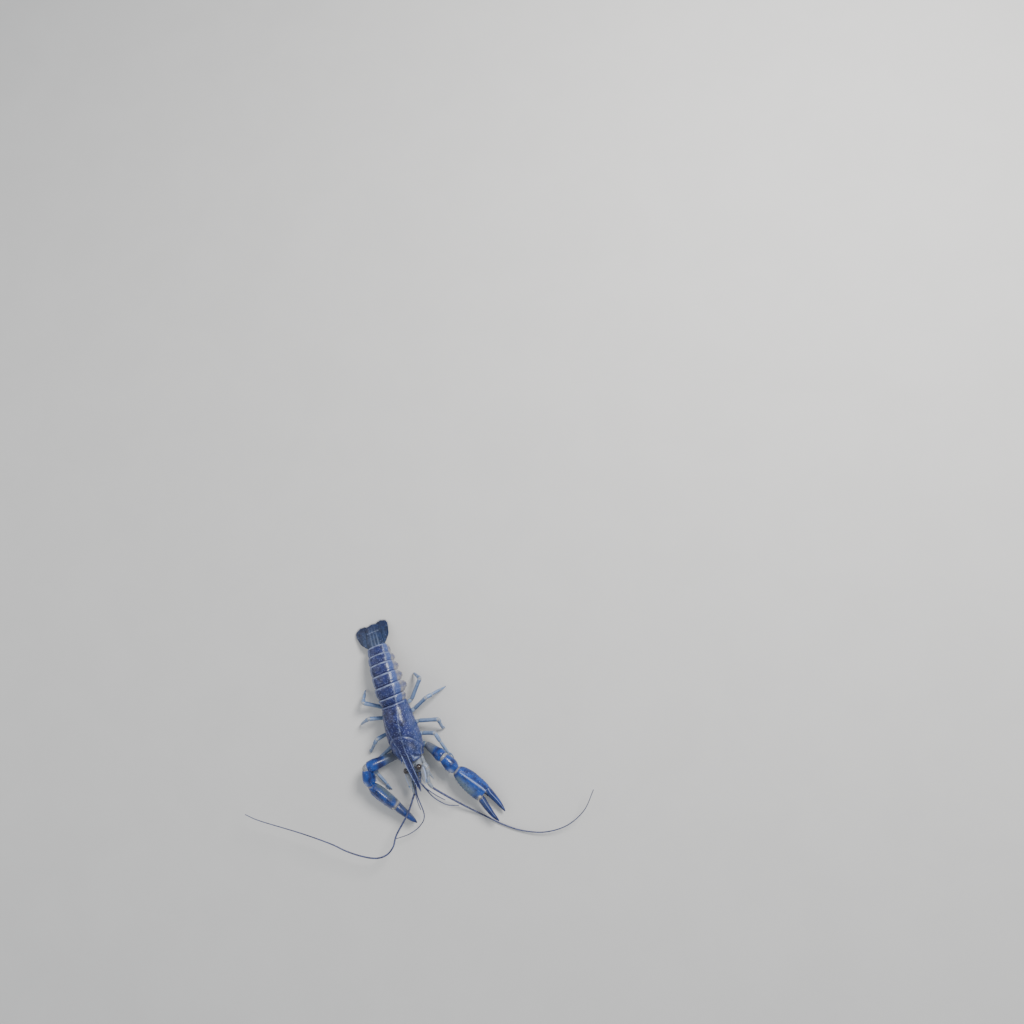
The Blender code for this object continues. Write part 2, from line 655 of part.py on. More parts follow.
PEDUNCLES = {
    "left": ((5.0, -23.6, 10.0), (6.8, -27.4, 9.6), (5.0, -32.4, 9.1), (3.9, -36.8, 8.9)),
    "right": ((-4.9, -23.6, 10.1), (-6.9, -27.0, 10.1), (-7.2, -31.6, 10.2), (-7.2, -36.0, 10.6)),
}


def make_antennae():
    for word, side in (("left", 1), ("right", -1)):
        route = [trunk() @ Vector(point) for point in PEDUNCLES[word]]
        knots = through([Vector(point) for point in FEELER_ROUTES[word]], 46)
        route.append(knots[0])
        outwards = trunk().to_3x3() @ Vector((side, 0, 0))
        whip = (knots[1] - knots[0]).normalized()
        stations = joined(
            [(route[0], 2.1, 2.0), (route[0].lerp(route[1], 0.5), 2.3, 2.1), (route[1], 2.0, 1.9)],
            segment(route[1], route[2], 1.9, 1.8), segment(route[2], route[3], 1.6, 1.45),
            segment(route[3], route[4], 1.35, 1.1))
        stations = stop_short(stations, last=GAP / 2, end=whip)
        finished(f"antenna_base_{word}", skin(sweep(stations, 8, start=outwards, end=whip)), "under")
        make_feeler(word, knots)


def make_feeler(word, knots):
    """The long flagellum in three lengths, each met face to face by the next."""
    share = (len(knots) - 1) // FEELER_LENGTHS
    for number in range(FEELER_LENGTHS):
        low = number * share
        high = low + share
        points = list(knots[low:high + 1])
        points[0] = points[0].lerp(points[1], 0.6 * GAP / (points[1] - points[0]).length)
        if number < FEELER_LENGTHS - 1:
            points[-1] = points[-1].lerp(points[-2], 0.6 * GAP / (points[-1] - points[-2]).length)
        shares = [i / (len(knots) - 1) for i in range(low, high + 1)]
        radii = [lerp(FEELER_RADIUS, FEELER_TIP_RADIUS, share ** 0.8) for share in shares]
        feeler = tube_curve(f"feeler_{word}_{number + 1}", points, radii)
        feeler.data.materials.append(FINISHES["feeler"])
        PARTS.objects.link(feeler)


SCALE_WIDTHS = ((0.0, 1.2), (0.3, 1.9), (0.65, 1.65), (1.0, 0.4))
ANTENNA_SCALES = {"left": ((5.6, -25.0, 13.2), -9.0), "right": ((-7.0, -25.6, 13.7), 0.0)}


def make_antenna_scales():
    for word, (root, turn) in ANTENNA_SCALES.items():
        frame = (trunk() @ Matrix.Translation(root) @ Matrix.Rotation(math.pi, 4, "Z")
                 @ Matrix.Rotation(math.radians(turn), 4, "Z") @ Matrix.Rotation(math.radians(-3.0), 4, "X"))
        bm = plate(frame, 11.4, SCALE_WIDTHS, ((0.0, 1.1), (1.0, 0.6)), ridge=0.0)
        finished(f"antenna_scale_{word}", bm, "leg")


ANTENNULES = {
    "left": (((0.0, -34.4, 11.3), (2.8, -40.0, 10.8), (7.0, -47.0, 10.2), (14.0, -53.3, 9.4), (21.7, -55.8, 8.8)),
             ((0.0, -34.4, 11.3), (3.2, -39.0, 11.8), (8.4, -44.6, 11.8), (14.0, -49.6, 11.2))),
    "right": (((-3.6, -34.4, 11.4), (-4.2, -42.7, 10.8), (-2.9, -55.9, 9.6), (-7.7, -62.3, 8.6), (-16.4, -66.0, 7.6),
               (-26.7, -67.2, 6.6)),
              ((-3.6, -34.4, 11.4), (-4.6, -41.0, 12.2), (-4.2, -47.0, 12.6), (-3.4, -51.5, 12.6))),
}


def make_antennules():
    for word, side in (("left", 1), ("right", -1)):
        forward = trunk().to_3x3() @ Vector((0, -1, 0))
        base = trunk() @ Vector((side * 1.8, HEAD_FRONT - GAP, 11.4))
        whips = ANTENNULES[word]
        end = Vector(whips[0][0])
        middle = base.lerp(end, 0.45)
        stations = joined(segment(base, middle, 1.15, 1.0), segment(middle, end, 0.95, 0.8))
        growths = []
        for route in whips:
            points = [end + (base - end).normalized() * 0.6, *[Vector(p) for p in route]]
            knots = through(points, 15)
            last = len(knots) - 1
            growths.append(tube(knots, [lerp(0.5, 0.25, i / last) for i in range(len(knots))]))
        fused(f"antennule_{word}", "feeler", skin(sweep(stations, 8, start=forward)), growths)


MAXILLIPEDS = {
    "left": ((1.9, -14.3, 6.3), (2.6, -19.0, 5.2), (3.4, -25.0, 4.9), (3.9, -30.2, 4.7), (5.8, -36.8, 4.0)),
    "right": ((-1.9, -14.3, 6.3), (-2.9, -19.0, 5.4), (-3.6, -25.2, 5.4), (-4.2, -30.0, 5.8), (-3.8, -34.0, 4.6)),
}


def make_maxillipeds():
    for word in ("left", "right"):
        route = [trunk() @ Vector(point) for point in MAXILLIPEDS[word]]
        stations = joined(segment(route[0], route[1], 1.5, 1.5), segment(route[1], route[2], 1.45, 1.2),
                          segment(route[2], route[3], 1.1, 0.9), segment(route[3], route[4], 0.8, 0.45))
        forward = trunk().to_3x3() @ Vector((0, -1, 0))
        finished(f"maxilliped_{word}", skin(sweep(stations, 8, start=forward)), "under")


# Walking legs

def make_legs():
    for name, stance in LEGS.items():
        side = 1 if name.endswith("left") else -1
        outwards = trunk().to_3x3() @ Vector((side, 0, 0))
        root = trunk() @ Vector((side * LIMB_ROOT_X, stance["root"], 6.3))
        hip, knee = trunk() @ Vector((side * HIP_OUT, stance["hip"], HIP_Z)), Vector(stance["knee"])
        foot = Vector((*stance["foot"], -0.25))
        wrist = knee.lerp(foot, 0.30) + Vector((0, 0, stance["arch"]))
        ankle = knee.lerp(foot, 0.74) + Vector((0, 0, stance["arch"]))
        bend = joint_direction(hip, knee, wrist)
        upper = joined([(root, 1.75, 1.75), (root.lerp(hip, 0.5), 1.85, 1.7), (hip, 1.4, 1.4)],
                       segment(hip, knee, 1.65, 1.5))
        upper = stop_short(upper, last=GAP, end=bend)
        finished(f"{name}_upper", skin(sweep(upper, 8, start=outwards, end=bend)), "leg")
        lower = joined(segment(knee, wrist, 1.45, 1.3, shape=((0.0, 0.78), (0.45, 1.0), (0.8, 1.0), (1.0, 0.78))),
                       segment(wrist, ankle, 1.3, 1.0),
                       segment(ankle, foot, 0.9, 0.45, shape=((0.0, 0.8), (0.2, 1.0), (0.6, 0.95), (1.0, 0.8))))
        lower = stop_short(lower, first=GAP, start=bend)
        base = cut_at_floor(skin(sweep(lower, 8, start=bend)))
        if name.startswith(PINCER_LEGS):
            pinch = (foot - ankle).normalized()
            across_pinch, _ = across(pinch, Vector((0, 0, 1)))
            inner = ankle - (ankle - wrist).normalized() * 0.8
            nib = [(inner + across_pinch * side * 0.2, 0.6, 0.6),
                   (ankle.lerp(foot, 0.35) - across_pinch * side * 1.3, 0.5, 0.5),
                   (ankle.lerp(foot, 0.86) - across_pinch * side * 1.05, 0.24, 0.24)]
            fused(f"{name}_lower", "leg", base, [cut_at_floor(skin(sweep(nib, 6)))])
        else:
            finished(f"{name}_lower", base, "leg")


# Chelipeds

def hand_frame(word):
    """The frame of a claw: Y runs from wrist to tips, X points to the fixed finger and Z is its broad back."""
    claw = CLAWS[word]
    wrist, reach = Vector(claw["wrist"]), Vector(claw["reach"])
    axis = (reach - wrist).normalized()
    side = 1 if word == "left" else -1
    level = (Vector((0, 0, 1)).cross(axis) * side).normalized()
    over = (axis.cross(level) * side).normalized()
    edge = level * math.cos(claw["edge_down"]) - over * math.sin(claw["edge_down"])
    back = axis.cross(edge) * side
    rotation = Matrix((edge, axis, back)).transposed().to_4x4()
    return Matrix.Translation(wrist) @ rotation @ Matrix.Scale(claw["size"], 4)


PALM = ((0.0, 2.9, 2.6, 0.0), (1.4, 3.9, 3.2, 0.1), (4.5, 5.0, 3.9, 0.3), (10.0, 6.1, 4.3, 0.3),
        (16.0, 6.4, 4.2, 0.1), (21.5, 6.2, 3.9, 0.1), (PALM_LENGTH, 5.9, 3.6, 0.2))
FINGER = ((0.0, 2.9, 3.1, 3.0), (0.2, 2.5, 2.6, 2.9), (0.45, 2.05, 2.1, 2.4), (0.7, 1.6, 1.6, 1.6),
          (0.9, 0.95, 1.0, 0.7), (1.0, 0.35, 0.4, 0.2))
DACTYL = ((0.0, 2.0, 2.3, 0.0), (0.12, 2.35, 2.5, 0.0), (0.35, 2.1, 2.2, -0.2), (0.6, 1.7, 1.7, -0.2),
          (0.82, 1.2, 1.2, 0.1), (0.95, 0.65, 0.7, 0.5), (1.0, 0.28, 0.32, 0.7))
HAND_SIDES = 14


def make_claws():
    for word, side in (("left", 1), ("right", -1)):
        claw = CLAWS[word]
        frame = hand_frame(word)
        root = trunk() @ Vector((side * LIMB_ROOT_X, CLAW_ROOT_Y, 6.0))
        hip = trunk() @ Vector((side * CLAW_HIP_OUT, CLAW_HIP_Y, CLAW_HIP_Z))
        elbow, wrist = Vector(claw["elbow"]), Vector(claw["wrist"])
        axis = (frame.to_3x3() @ Vector((0, 1, 0))).normalized()
        outwards = trunk().to_3x3() @ Vector((side, 0, 0))
        elbow_way = joint_direction(hip, elbow, wrist)
        wrist_way = (axis + (wrist - elbow).normalized()).normalized()
        arm = joined([(root, 2.4, 2.1), (root.lerp(hip, 0.5), 2.5, 2.0), (hip, 1.9, 1.8)],
                     segment(hip, elbow, 2.4, 4.4,
                             shape=((0.0, 0.8), (0.15, 0.96), (0.5, 0.98), (0.82, 1.05), (1.0, 0.8))))
        arm = stop_short(arm, last=GAP / 2, end=elbow_way)
        thorns = []
        inward, over = across((elbow - hip).normalized(), Vector((0, 0, 1)))
        for t in (0.62, 0.8):
            base = hip.lerp(elbow, t) + over * 2.8
            thorns.append(spike(base, base + over * 1.5 + (elbow - hip).normalized() * 1.1, 0.6))
        fused(f"claw_arm_{word}", "claw", skin(sweep(arm, 12, start=outwards, end=elbow_way)), thorns)
        carpus = segment(elbow, wrist, 3.85, 3.6,
                         shape=((0.0, 0.76), (0.36, 1.14), (0.55, 1.22), (0.78, 1.12), (1.0, 0.74)))
        carpus = stop_short(carpus, GAP / 2, GAP / 2, elbow_way, wrist_way)
        thorns = []
        inward, over = across((wrist - elbow).normalized(), Vector((0, 0, 1)))
        for t, reach in ((0.52, 1.9), (0.78, 1.5)):
            base = elbow.lerp(wrist, t) + inward * side * 3.4
            thorns.append(spike(base, base + inward * side * reach + (wrist - elbow).normalized() * 1.0, 0.7))
        fused(f"claw_wrist_{word}", "claw", skin(sweep(carpus, 12, start=elbow_way, end=wrist_way)), thorns)
        make_hand(word, frame, wrist_way)


def hand_ring(frame, y, half_width, half_thick, shift):
    centre = frame @ Vector((shift, y, 0))
    way = frame.to_3x3() @ Vector((0, 1, 0))
    back = frame.to_3x3() @ Vector((0, 0, 1))
    size = frame.median_scale
    return oval(centre, way, back, half_width * size, half_thick * size, HAND_SIDES)


def tooth(frame, x, y, lean, size):
    """A low tooth on a finger's cutting edge."""
    base = frame @ Vector((x, y, 0))
    return spike(base, base + frame.to_3x3() @ Vector((lean * size * 1.3, 0, 0)), size * frame.median_scale, 6)


def make_hand(word, frame, wrist_way):
    rings = []
    for i, (y, half_width, half_thick, shift) in enumerate(PALM):
        ring = hand_ring(frame, y, half_width, half_thick, shift)
        if i == 0:
            centre = frame @ Vector((0, 0, 0)) + wrist_way * GAP / 2
            size = frame.median_scale
            ring = oval(centre, wrist_way, frame.to_3x3() @ Vector((0, 0, 1)), half_width * size, half_thick * size,
                        HAND_SIDES)
        rings.append(ring)
    for t, half_width, half_thick, shift in FINGER:
        rings.append(hand_ring(frame, PALM_LENGTH + FIXED_FINGER_LENGTH * t, half_width, half_thick, shift))
    teeth = []
    for t in (0.2, 0.34, 0.48, 0.62, 0.76):
        half_width = eased(t, [(s, w) for s, w, _, _ in FINGER])
        shift = eased(t, [(s, x) for s, _, _, x in FINGER])
        teeth.append(tooth(frame, shift - half_width + 0.45, PALM_LENGTH + FIXED_FINGER_LENGTH * t, -1,
                           0.75 - 0.35 * t))
    fused(f"claw_palm_{word}", "claw", cut_at_floor(skin(rings)), teeth)
    knuckle = frame @ Matrix.Translation((-HINGE_INWARD, PALM_LENGTH + GAP, 0))
    hinge = knuckle @ Matrix.Rotation(CLAWS[word]["open"], 4, "Z")
    rings = [hand_ring(hinge, DACTYL_LENGTH * t, w, h, x) for t, w, h, x in DACTYL]
    rings[0] = hand_ring(knuckle, 0.0, *DACTYL[0][1:])
    teeth = []
    for t in (0.24, 0.4, 0.56, 0.72):
        half_width = eased(t, [(s, w) for s, w, _, _ in DACTYL])
        shift = eased(t, [(s, x) for s, _, _, x in DACTYL])
        teeth.append(tooth(hinge, shift + half_width - 0.45, DACTYL_LENGTH * t, 1, 0.7 - 0.3 * t))
    fused(f"claw_finger_{word}", "claw", cut_at_floor(skin(rings)), teeth)


clear_scene()
FINISHES = make_finishes()
PARTS = bpy.data.collections.new("freshwater_crayfish")
bpy.context.scene.collection.children.link(PARTS)
make_carapace()
make_sternum()
make_abdomen()
make_tail_fan()
make_head()
make_eyes()
make_antennae()
make_antenna_scales()
make_antennules()
make_maxillipeds()
make_legs()
make_claws()
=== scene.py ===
"""The looks of a life-size freshwater crayfish that stands with one claw reached out and one folded in.

The animal faces -Y, its left side is +X and the floor is z = 0. Shapes are worked out in millimetres and
become metres when a piece is made. Every piece rides on the frame's one body.
"""

import math

import bpy
from mathutils import Matrix, Vector


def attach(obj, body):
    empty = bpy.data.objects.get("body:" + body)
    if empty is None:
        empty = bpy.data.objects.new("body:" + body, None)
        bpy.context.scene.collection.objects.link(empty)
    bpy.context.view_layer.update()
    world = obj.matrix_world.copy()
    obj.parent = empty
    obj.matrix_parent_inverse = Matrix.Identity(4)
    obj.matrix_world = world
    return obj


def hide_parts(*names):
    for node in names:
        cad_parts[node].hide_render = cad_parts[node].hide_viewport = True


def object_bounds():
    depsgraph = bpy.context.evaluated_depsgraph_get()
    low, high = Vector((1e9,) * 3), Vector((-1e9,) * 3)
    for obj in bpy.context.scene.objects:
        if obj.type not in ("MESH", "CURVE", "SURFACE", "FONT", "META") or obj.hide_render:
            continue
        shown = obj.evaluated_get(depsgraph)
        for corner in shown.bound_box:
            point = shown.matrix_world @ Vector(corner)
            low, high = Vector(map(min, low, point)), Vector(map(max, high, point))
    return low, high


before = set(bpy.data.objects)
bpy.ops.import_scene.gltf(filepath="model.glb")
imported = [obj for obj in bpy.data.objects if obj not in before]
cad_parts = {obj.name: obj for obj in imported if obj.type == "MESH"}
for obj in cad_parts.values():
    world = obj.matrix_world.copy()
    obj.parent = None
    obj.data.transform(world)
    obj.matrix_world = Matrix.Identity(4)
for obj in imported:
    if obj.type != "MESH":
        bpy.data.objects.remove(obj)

bl_info = {
    "name": "Freshwater crayfish",
    "version": (1, 0, 0),
    "blender": (4, 5, 0),
    "location": "3D View > Sidebar > Crayfish",
    "description": "Dresses the solids of a freshwater crayfish with its shell, limbs, feelers and fringes",
    "category": "Object",
}

MM = 0.001
CAD_LOW, CAD_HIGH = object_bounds()
# The line mask holds pale lines and also painted highlights; the dark mask holds dark marks and also painted shade.
MASKS = ("cream", "line", "pale", "dark", "granules", "hairs")
SHELL_MAP = "shell_map"
ORIGIN_SHIFT = Vector((4.0, 3.8, 0.0))
PLACE = Matrix.Scale(MM, 4) @ Matrix.Translation(ORIGIN_SHIFT)
GAP = 0.3
FLOOR_CLEARANCE = 0.03
UP = Vector((0, 0, 1))
SIDES = (("left", 1), ("right", -1))

# Trunk, measured along Y from the dorsal point of the cervical groove
CARAPACE_BACK = 20.6
CARAPACE_FRONT = -19.0
GROOVE_DEPTH = 0.55
GROOVE_SWEEP = 10.0
TRUNK_AXIS_Z = 12.0
TRUNK_LEAN = math.radians(-13.0)
TRUNK_TURN = math.radians(5.6)
TRUNK_SHIFT = Vector((-3.0, 0.0, 0.0))
BELLY_RECESS_Z = 9.0
HALF_WIDTH = ((-19.0, 6.1), (-12.0, 8.5), (-3.0, 10.3), (6.0, 10.9), (14.0, 9.8), (20.6, 8.5))
TOP_Z = ((-19.0, 18.2), (-10.0, 21.2), (0.0, 23.2), (9.0, 23.8), (20.6, 21.6))
MIDDLE_Z = ((-19.0, 12.6), (-5.0, 13.4), (20.6, 12.6))
EDGE_Z = ((-19.0, 9.0), (-10.0, 7.9), (0.0, 7.5), (20.6, 7.8))
SWEEP_SHARE = ((-19.0, 0.0), (-10.0, 0.55), (0.0, 1.0), (20.6, 0.0))
ARCH_POINTS = 60

# Rostrum
ROSTRUM_ROOT = -12.5
ROSTRUM_TIP = -39.6
ROSTRUM_HALF_WIDTH = 2.5
ROSTRUM_SPINES = (-29.5, -32.6, -35.4)

# Sternum and head
STERNUM_HALF_WIDTH = 3.6
STERNUM_FRONT, STERNUM_BACK = -14.0, 20.8
STERNUM_TOP, STERNUM_BOTTOM = BELLY_RECESS_Z - GAP, 4.6
LIMB_ROOT_X = STERNUM_HALF_WIDTH + GAP
HEAD_FRONT = -27.0
EYE_RADIUS = 2.0

# Abdomen: lengths of its six rings, and how far the tail turns
RING_LENGTHS = (5.0, 8.0, 7.6, 7.2, 6.4, 6.4)
ABDOMEN_START = CARAPACE_BACK + GAP
ABDOMEN_WIDTH = ((0.0, 8.7), (9.0, 10.0), (20.0, 9.4), (30.0, 8.8), (41.0, 7.5))
ABDOMEN_HEIGHT = ((0.0, 8.7), (10.0, 8.5), (24.0, 7.4), (41.0, 5.2))
LOBE_LENGTHS = (1.4, 4.8, 4.6, 4.2, 3.4, 1.6)
RING_SWELL = ((0.0, 0.90), (0.16, 0.955), (0.42, 1.0), (0.68, 1.01), (0.88, 1.015), (1.0, 1.0))
RING_LOBE = ((0.0, 0.10), (0.16, 0.62), (0.42, 0.98), (0.68, 1.0), (0.88, 0.66), (1.0, 0.14))
TAIL_TURN = math.radians(1.0)
TAIL_TURN_BY = 9.0
TAIL_DROP = math.radians(17.0)
TAIL_DROP_FROM = 6.0
TERGITE_POINTS, TERGITE_SIDE_POINTS = 44, 18

# Tail fan
TELSON_LENGTH, ENDOPOD_LENGTH, EXOPOD_LENGTH = 18.6, 17.4, 16.6
TELSON_WIDTHS = ((0.0, 5.4), (0.2, 5.8), (0.7, 5.0), (0.9, 4.3), (1.0, 3.0))
BLADE_WIDTHS = ((0.0, 1.2), (0.12, 3.1), (0.4, 4.8), (0.78, 4.7), (0.94, 3.5), (1.0, 2.0))
# Where the seam across a blade lies, by share of its length
BLADE_SEAM = 0.66
# Points over the top of a blade's section and below it
BLADE_TOP, BLADE_UNDER = 40, 20
# How far from the middle each blade starts and how many degrees it turns out; the left pair is folded in
FAN = {
    "left": {"inner": (4.8, 1.0), "outer": (5.4, 4.0)},
    "right": {"inner": (5.0, 6.0), "outer": (6.4, 12.0)},
}

# Feelers, antennules and mouthparts
FEELER_ROUTES = {
    "left": ((6.8, -40.3, 9.0), (10.4, -44.0, 8.4), (19.1, -52.9, 6.0), (29.4, -63.0, 2.8), (37.3, -69.8, 1.3),
             (46.0, -76.6, 1.1), (58.0, -83.4, 1.6), (73.0, -87.4, 3.2), (89.0, -86.0, 5.6), (103.0, -78.6, 8.4),
             (113.0, -66.6, 11.0)),
    "right": ((-5.9, -40.6, 10.0), (-12.8, -51.5, 12.0), (-23.3, -62.8, 13.5), (-27.0, -69.3, 14.2),
              (-32.2, -73.0, 15.0), (-39.5, -73.3, 15.6), (-48.7, -69.5, 16.4), (-58.3, -63.7, 17.0),
              (-67.7, -56.5, 17.6), (-86.2, -44.9, 18.6), (-111.7, -30.6, 19.6), (-121.0, -24.0, 20.0)),
}
FEELER_RADIUS, FEELER_TIP_RADIUS = 0.75, 0.26
PEDUNCLES = {
    "left": ((5.0, -23.6, 10.0), (6.8, -27.4, 9.6), (5.0, -32.4, 9.1), (3.9, -36.8, 8.9)),
    "right": ((-4.9, -23.6, 10.1), (-6.9, -27.0, 10.1), (-7.2, -31.6, 10.2), (-7.2, -36.0, 10.6)),
}
SCALE_LENGTH = 11.4
SCALE_WIDTHS = ((0.0, 1.2), (0.3, 1.9), (0.65, 1.65), (1.0, 0.4))
ANTENNA_SCALES = {"left": ((5.6, -25.0, 13.2), -9.0), "right": ((-7.0, -25.6, 13.7), 0.0)}
ANTENNULES = {
    "left": (((0.0, -34.4, 11.3), (2.8, -40.0, 10.8), (7.0, -47.0, 10.2), (14.0, -53.3, 9.4), (21.7, -55.8, 8.8)),
             ((0.0, -34.4, 11.3), (3.2, -39.0, 11.8), (8.4, -44.6, 11.8), (14.0, -49.6, 11.2))),
    "right": (((-3.6, -34.4, 11.4), (-4.2, -42.7, 10.8), (-2.9, -55.9, 9.6), (-7.7, -62.3, 8.6), (-16.4, -66.0, 7.6),
               (-26.7, -67.2, 6.6)),
              ((-3.6, -34.4, 11.4), (-4.6, -41.0, 12.2), (-4.2, -47.0, 12.6), (-3.4, -51.5, 12.6))),
}
MAXILLIPEDS = {
    "left": ((1.9, -14.3, 6.3), (2.6, -19.0, 5.2), (3.4, -25.0, 4.9), (3.9, -30.2, 4.7), (5.8, -36.8, 4.0)),
    "right": ((-1.9, -14.3, 6.3), (-2.9, -19.0, 5.4), (-3.6, -25.2, 5.4), (-4.2, -30.0, 5.8), (-3.8, -34.0, 4.6)),
}

# Walking legs: root and hip along the sternum, then the knee and the foot on the floor
LEGS = {
    "leg_2_left": {"root": -4.6, "hip": -5.2, "knee": (18.0, -5.4, 12.0), "foot": (23.1, -27.7), "arch": 0.8},
    "leg_3_left": {"root": 3.4, "hip": 3.6, "knee": (22.9, 2.8, 12.5), "foot": (21.6, -6.0), "arch": 1.1},
    "leg_4_left": {"root": 10.8, "hip": 12.4, "knee": (17.8, 19.0, 12.0), "foot": (30.2, 21.8), "arch": 1.1},
    "leg_5_left": {"root": 17.2, "hip": 19.0, "knee": (16.8, 32.8, 12.0), "foot": (10.2, 36.8), "arch": 1.0},
    "leg_2_right": {"root": -4.6, "hip": -4.4, "knee": (-33.6, -17.4, 4.8), "foot": (-24.3, -36.9), "arch": 0.0},
    "leg_3_right": {"root": 3.4, "hip": 3.4, "knee": (-23.0, 0.3, 11.5), "foot": (-33.6, -9.2), "arch": 1.1},
    "leg_4_right": {"root": 10.8, "hip": 12.0, "knee": (-25.4, 15.0, 11.8), "foot": (-36.0, 11.6), "arch": 1.1},
    "leg_5_right": {"root": 17.2, "hip": 18.6, "knee": (-27.0, 26.4, 11.0), "foot": (-27.1, 33.7), "arch": 1.1},
}
HIP_OUT, HIP_Z = 10.0, 5.1
PINCER_LEGS = ("leg_2", "leg_3")

# Claws: elbow, wrist, the tip of the fixed finger, how far the hand's outer edge turns down, and the gape
CLAWS = {
    "left": {
        "elbow": (19.7, -22.1, 12.0), "wrist": (25.9, -32.8, 10.4),
        "reach": (50.3, -68.3, 3.4), "edge_down": math.radians(28.0), "open": math.radians(13.0), "size": 1.0,
    },
    "right": {
        "elbow": (-33.7, -16.3, 13.0), "wrist": (-34.5, -28.3, 10.4),
        "reach": (-11.2, -60.5, 3.6), "edge_down": math.radians(72.0), "open": math.radians(1.5), "size": 0.92,
    },
}
CLAW_HIP_OUT, CLAW_HIP_Y, CLAW_HIP_Z = 9.4, -13.0, 4.7
CLAW_ROOT_Y = -11.2
PALM_LENGTH = 24.0
FIXED_FINGER_LENGTH = 19.7
DACTYL_LENGTH = 19.8
HINGE_INWARD = 3.3
# Distance from the wrist, half width, half thickness and sideways shift of the palm
PALM = ((0.0, 2.9, 2.6, 0.0), (1.4, 3.9, 3.2, 0.1), (4.5, 5.0, 3.9, 0.3), (10.0, 6.1, 4.3, 0.3),
        (16.0, 6.4, 4.2, 0.1), (21.5, 6.2, 3.9, 0.1), (PALM_LENGTH, 5.9, 3.6, 0.2))
# The same for the two fingers, by share of their length
FINGER = ((0.0, 2.9, 3.1, 3.0), (0.2, 2.5, 2.6, 2.9), (0.45, 2.05, 2.1, 2.4), (0.7, 1.6, 1.6, 1.6),
          (0.9, 0.95, 1.0, 0.7), (1.0, 0.35, 0.4, 0.2))
DACTYL = ((0.0, 2.0, 2.3, 0.0), (0.12, 2.35, 2.5, 0.0), (0.35, 2.1, 2.2, -0.2), (0.6, 1.7, 1.7, -0.2),
          (0.82, 1.2, 1.2, 0.1), (0.95, 0.65, 0.7, 0.5), (1.0, 0.28, 0.32, 0.7))
HAND_POINTS = 72


# Curves and lofts

def lerp(a, b, t):
    return a + (b - a) * t


def smooth(t):
    t = max(0.0, min(1.0, t))
    return t * t * (3.0 - 2.0 * t)


def bell(distance, width):
    """1 on a line and falling off to 0 over about two widths on both sides."""
    return math.exp(-(distance / width) ** 2)


def eased(value, stops):
    """The value of a smooth curve through stops, a list of (position, size) in rising position."""
    if value <= stops[0][0]:
        return stops[0][1]
    for (x0, y0), (x1, y1) in zip(stops, stops[1:]):
        if value <= x1:
            return lerp(y0, y1, smooth((value - x0) / (x1 - x0)))
    return stops[-1][1]


def flowing(value, stops):
    """The value of a curve through stops that keeps its slope from one stop to the next."""
    if value <= stops[0][0]:
        return stops[0][1]
    if value >= stops[-1][0]:
        return stops[-1][1]
    slopes = [(b[1] - a[1]) / (b[0] - a[0]) for a, b in zip(stops, stops[1:])]
    ends = [slopes[0]] + [0.5 * (a + b) if a * b > 0 else 0.0 for a, b in zip(slopes, slopes[1:])] + [slopes[-1]]
    for i, ((x0, y0), (x1, y1)) in enumerate(zip(stops, stops[1:])):
        if value <= x1:
            span = x1 - x0
            t = (value - x0) / span
            return ((2 * t ** 3 - 3 * t ** 2 + 1) * y0 + (t ** 3 - 2 * t ** 2 + t) * span * ends[i]
                    + (3 * t ** 2 - 2 * t ** 3) * y1 + (t ** 3 - t ** 2) * span * ends[i + 1])
    return stops[-1][1]


def section(table, at):
    """The three values of a table at a position, each on a curve through its rows of (position, three values)."""
    return [flowing(at, [(row[0], row[column]) for row in table]) for column in (1, 2, 3)]


def squared(value, power):
    """value brought nearer to 1 or -1, which makes a round outline squarer."""
    return math.copysign(abs(value) ** power, value)


def domed(share, least=0.0):
    """The rounding of a closed end: 0 or least at share 0 and full from 1 on."""
    return math.sqrt(max(least, 1.0 - (1.0 - min(1.0, share)) ** 2))


def arch(count):
    """Sine and cosine at count even steps over a half circle, from one side over the top to the other."""
    angles = [math.pi * (i / count - 0.5) for i in range(count + 1)]
    return [(math.sin(angle), max(0.0, math.cos(angle))) for angle in angles]


def mirrored(path):
    """The way back of a path that ends in the middle, on the other side."""
    return [Vector((-p.x, p.y, p.z)) for p in reversed(path[:-1])]


def facing(place, x, y, z):
    """A direction of a frame."""
    return place.to_3x3() @ Vector((x, y, z))


def through(points, count):
    """count points spaced evenly on a smooth curve through the given points."""
    points, fine = [Vector(point) for point in points], []
    padded = [points[0] * 2 - points[1], *points, points[-1] * 2 - points[-2]]
    for p0, p1, p2, p3 in zip(padded, padded[1:], padded[2:], padded[3:]):
        for step in range(16):
            t = step / 16.0
            fine.append(0.5 * ((2 * p1) + (p2 - p0) * t + (2 * p0 - 5 * p1 + 4 * p2 - p3) * t ** 2
                               + (3 * p1 - p0 - 3 * p2 + p3) * t ** 3))
    fine.append(points[-1])
    lengths = [0.0]
    for a, b in zip(fine, fine[1:]):
        lengths.append(lengths[-1] + (b - a).length)
    spaced, index = [], 0
    for step in range(count):
        target = lengths[-1] * step / (count - 1)
        while index < len(fine) - 2 and lengths[index + 1] < target:
            index += 1
        span = lengths[index + 1] - lengths[index]
        spaced.append(fine[index].lerp(fine[index + 1], (target - lengths[index]) / span))
    return spaced


def across(direction, up):
    """Side and up vectors square to a direction."""
    direction = direction.normalized()
    side = direction.cross(up)
    side = side.normalized() if side.length > 1e-6 else direction.orthogonal().normalized()
    return side, side.cross(direction).normalized()


def oval(centre, direction, up, half_side, half_up, sides):
    """A ring of points square to a direction."""
    side, over = across(direction, up)
    angles = [2.0 * math.pi * (i + 0.5) / sides for i in range(sides)]
    return [centre + side * (math.cos(a) * half_side) + over * (math.sin(a) * half_up) for a in angles]


def rounded(path, stops):
    """Stations for a sweep along a path, as thick as stops say."""
    thick = [flowing(i / (len(path) - 1), stops) for i in range(len(path))]
    return list(zip(path, thick, thick))


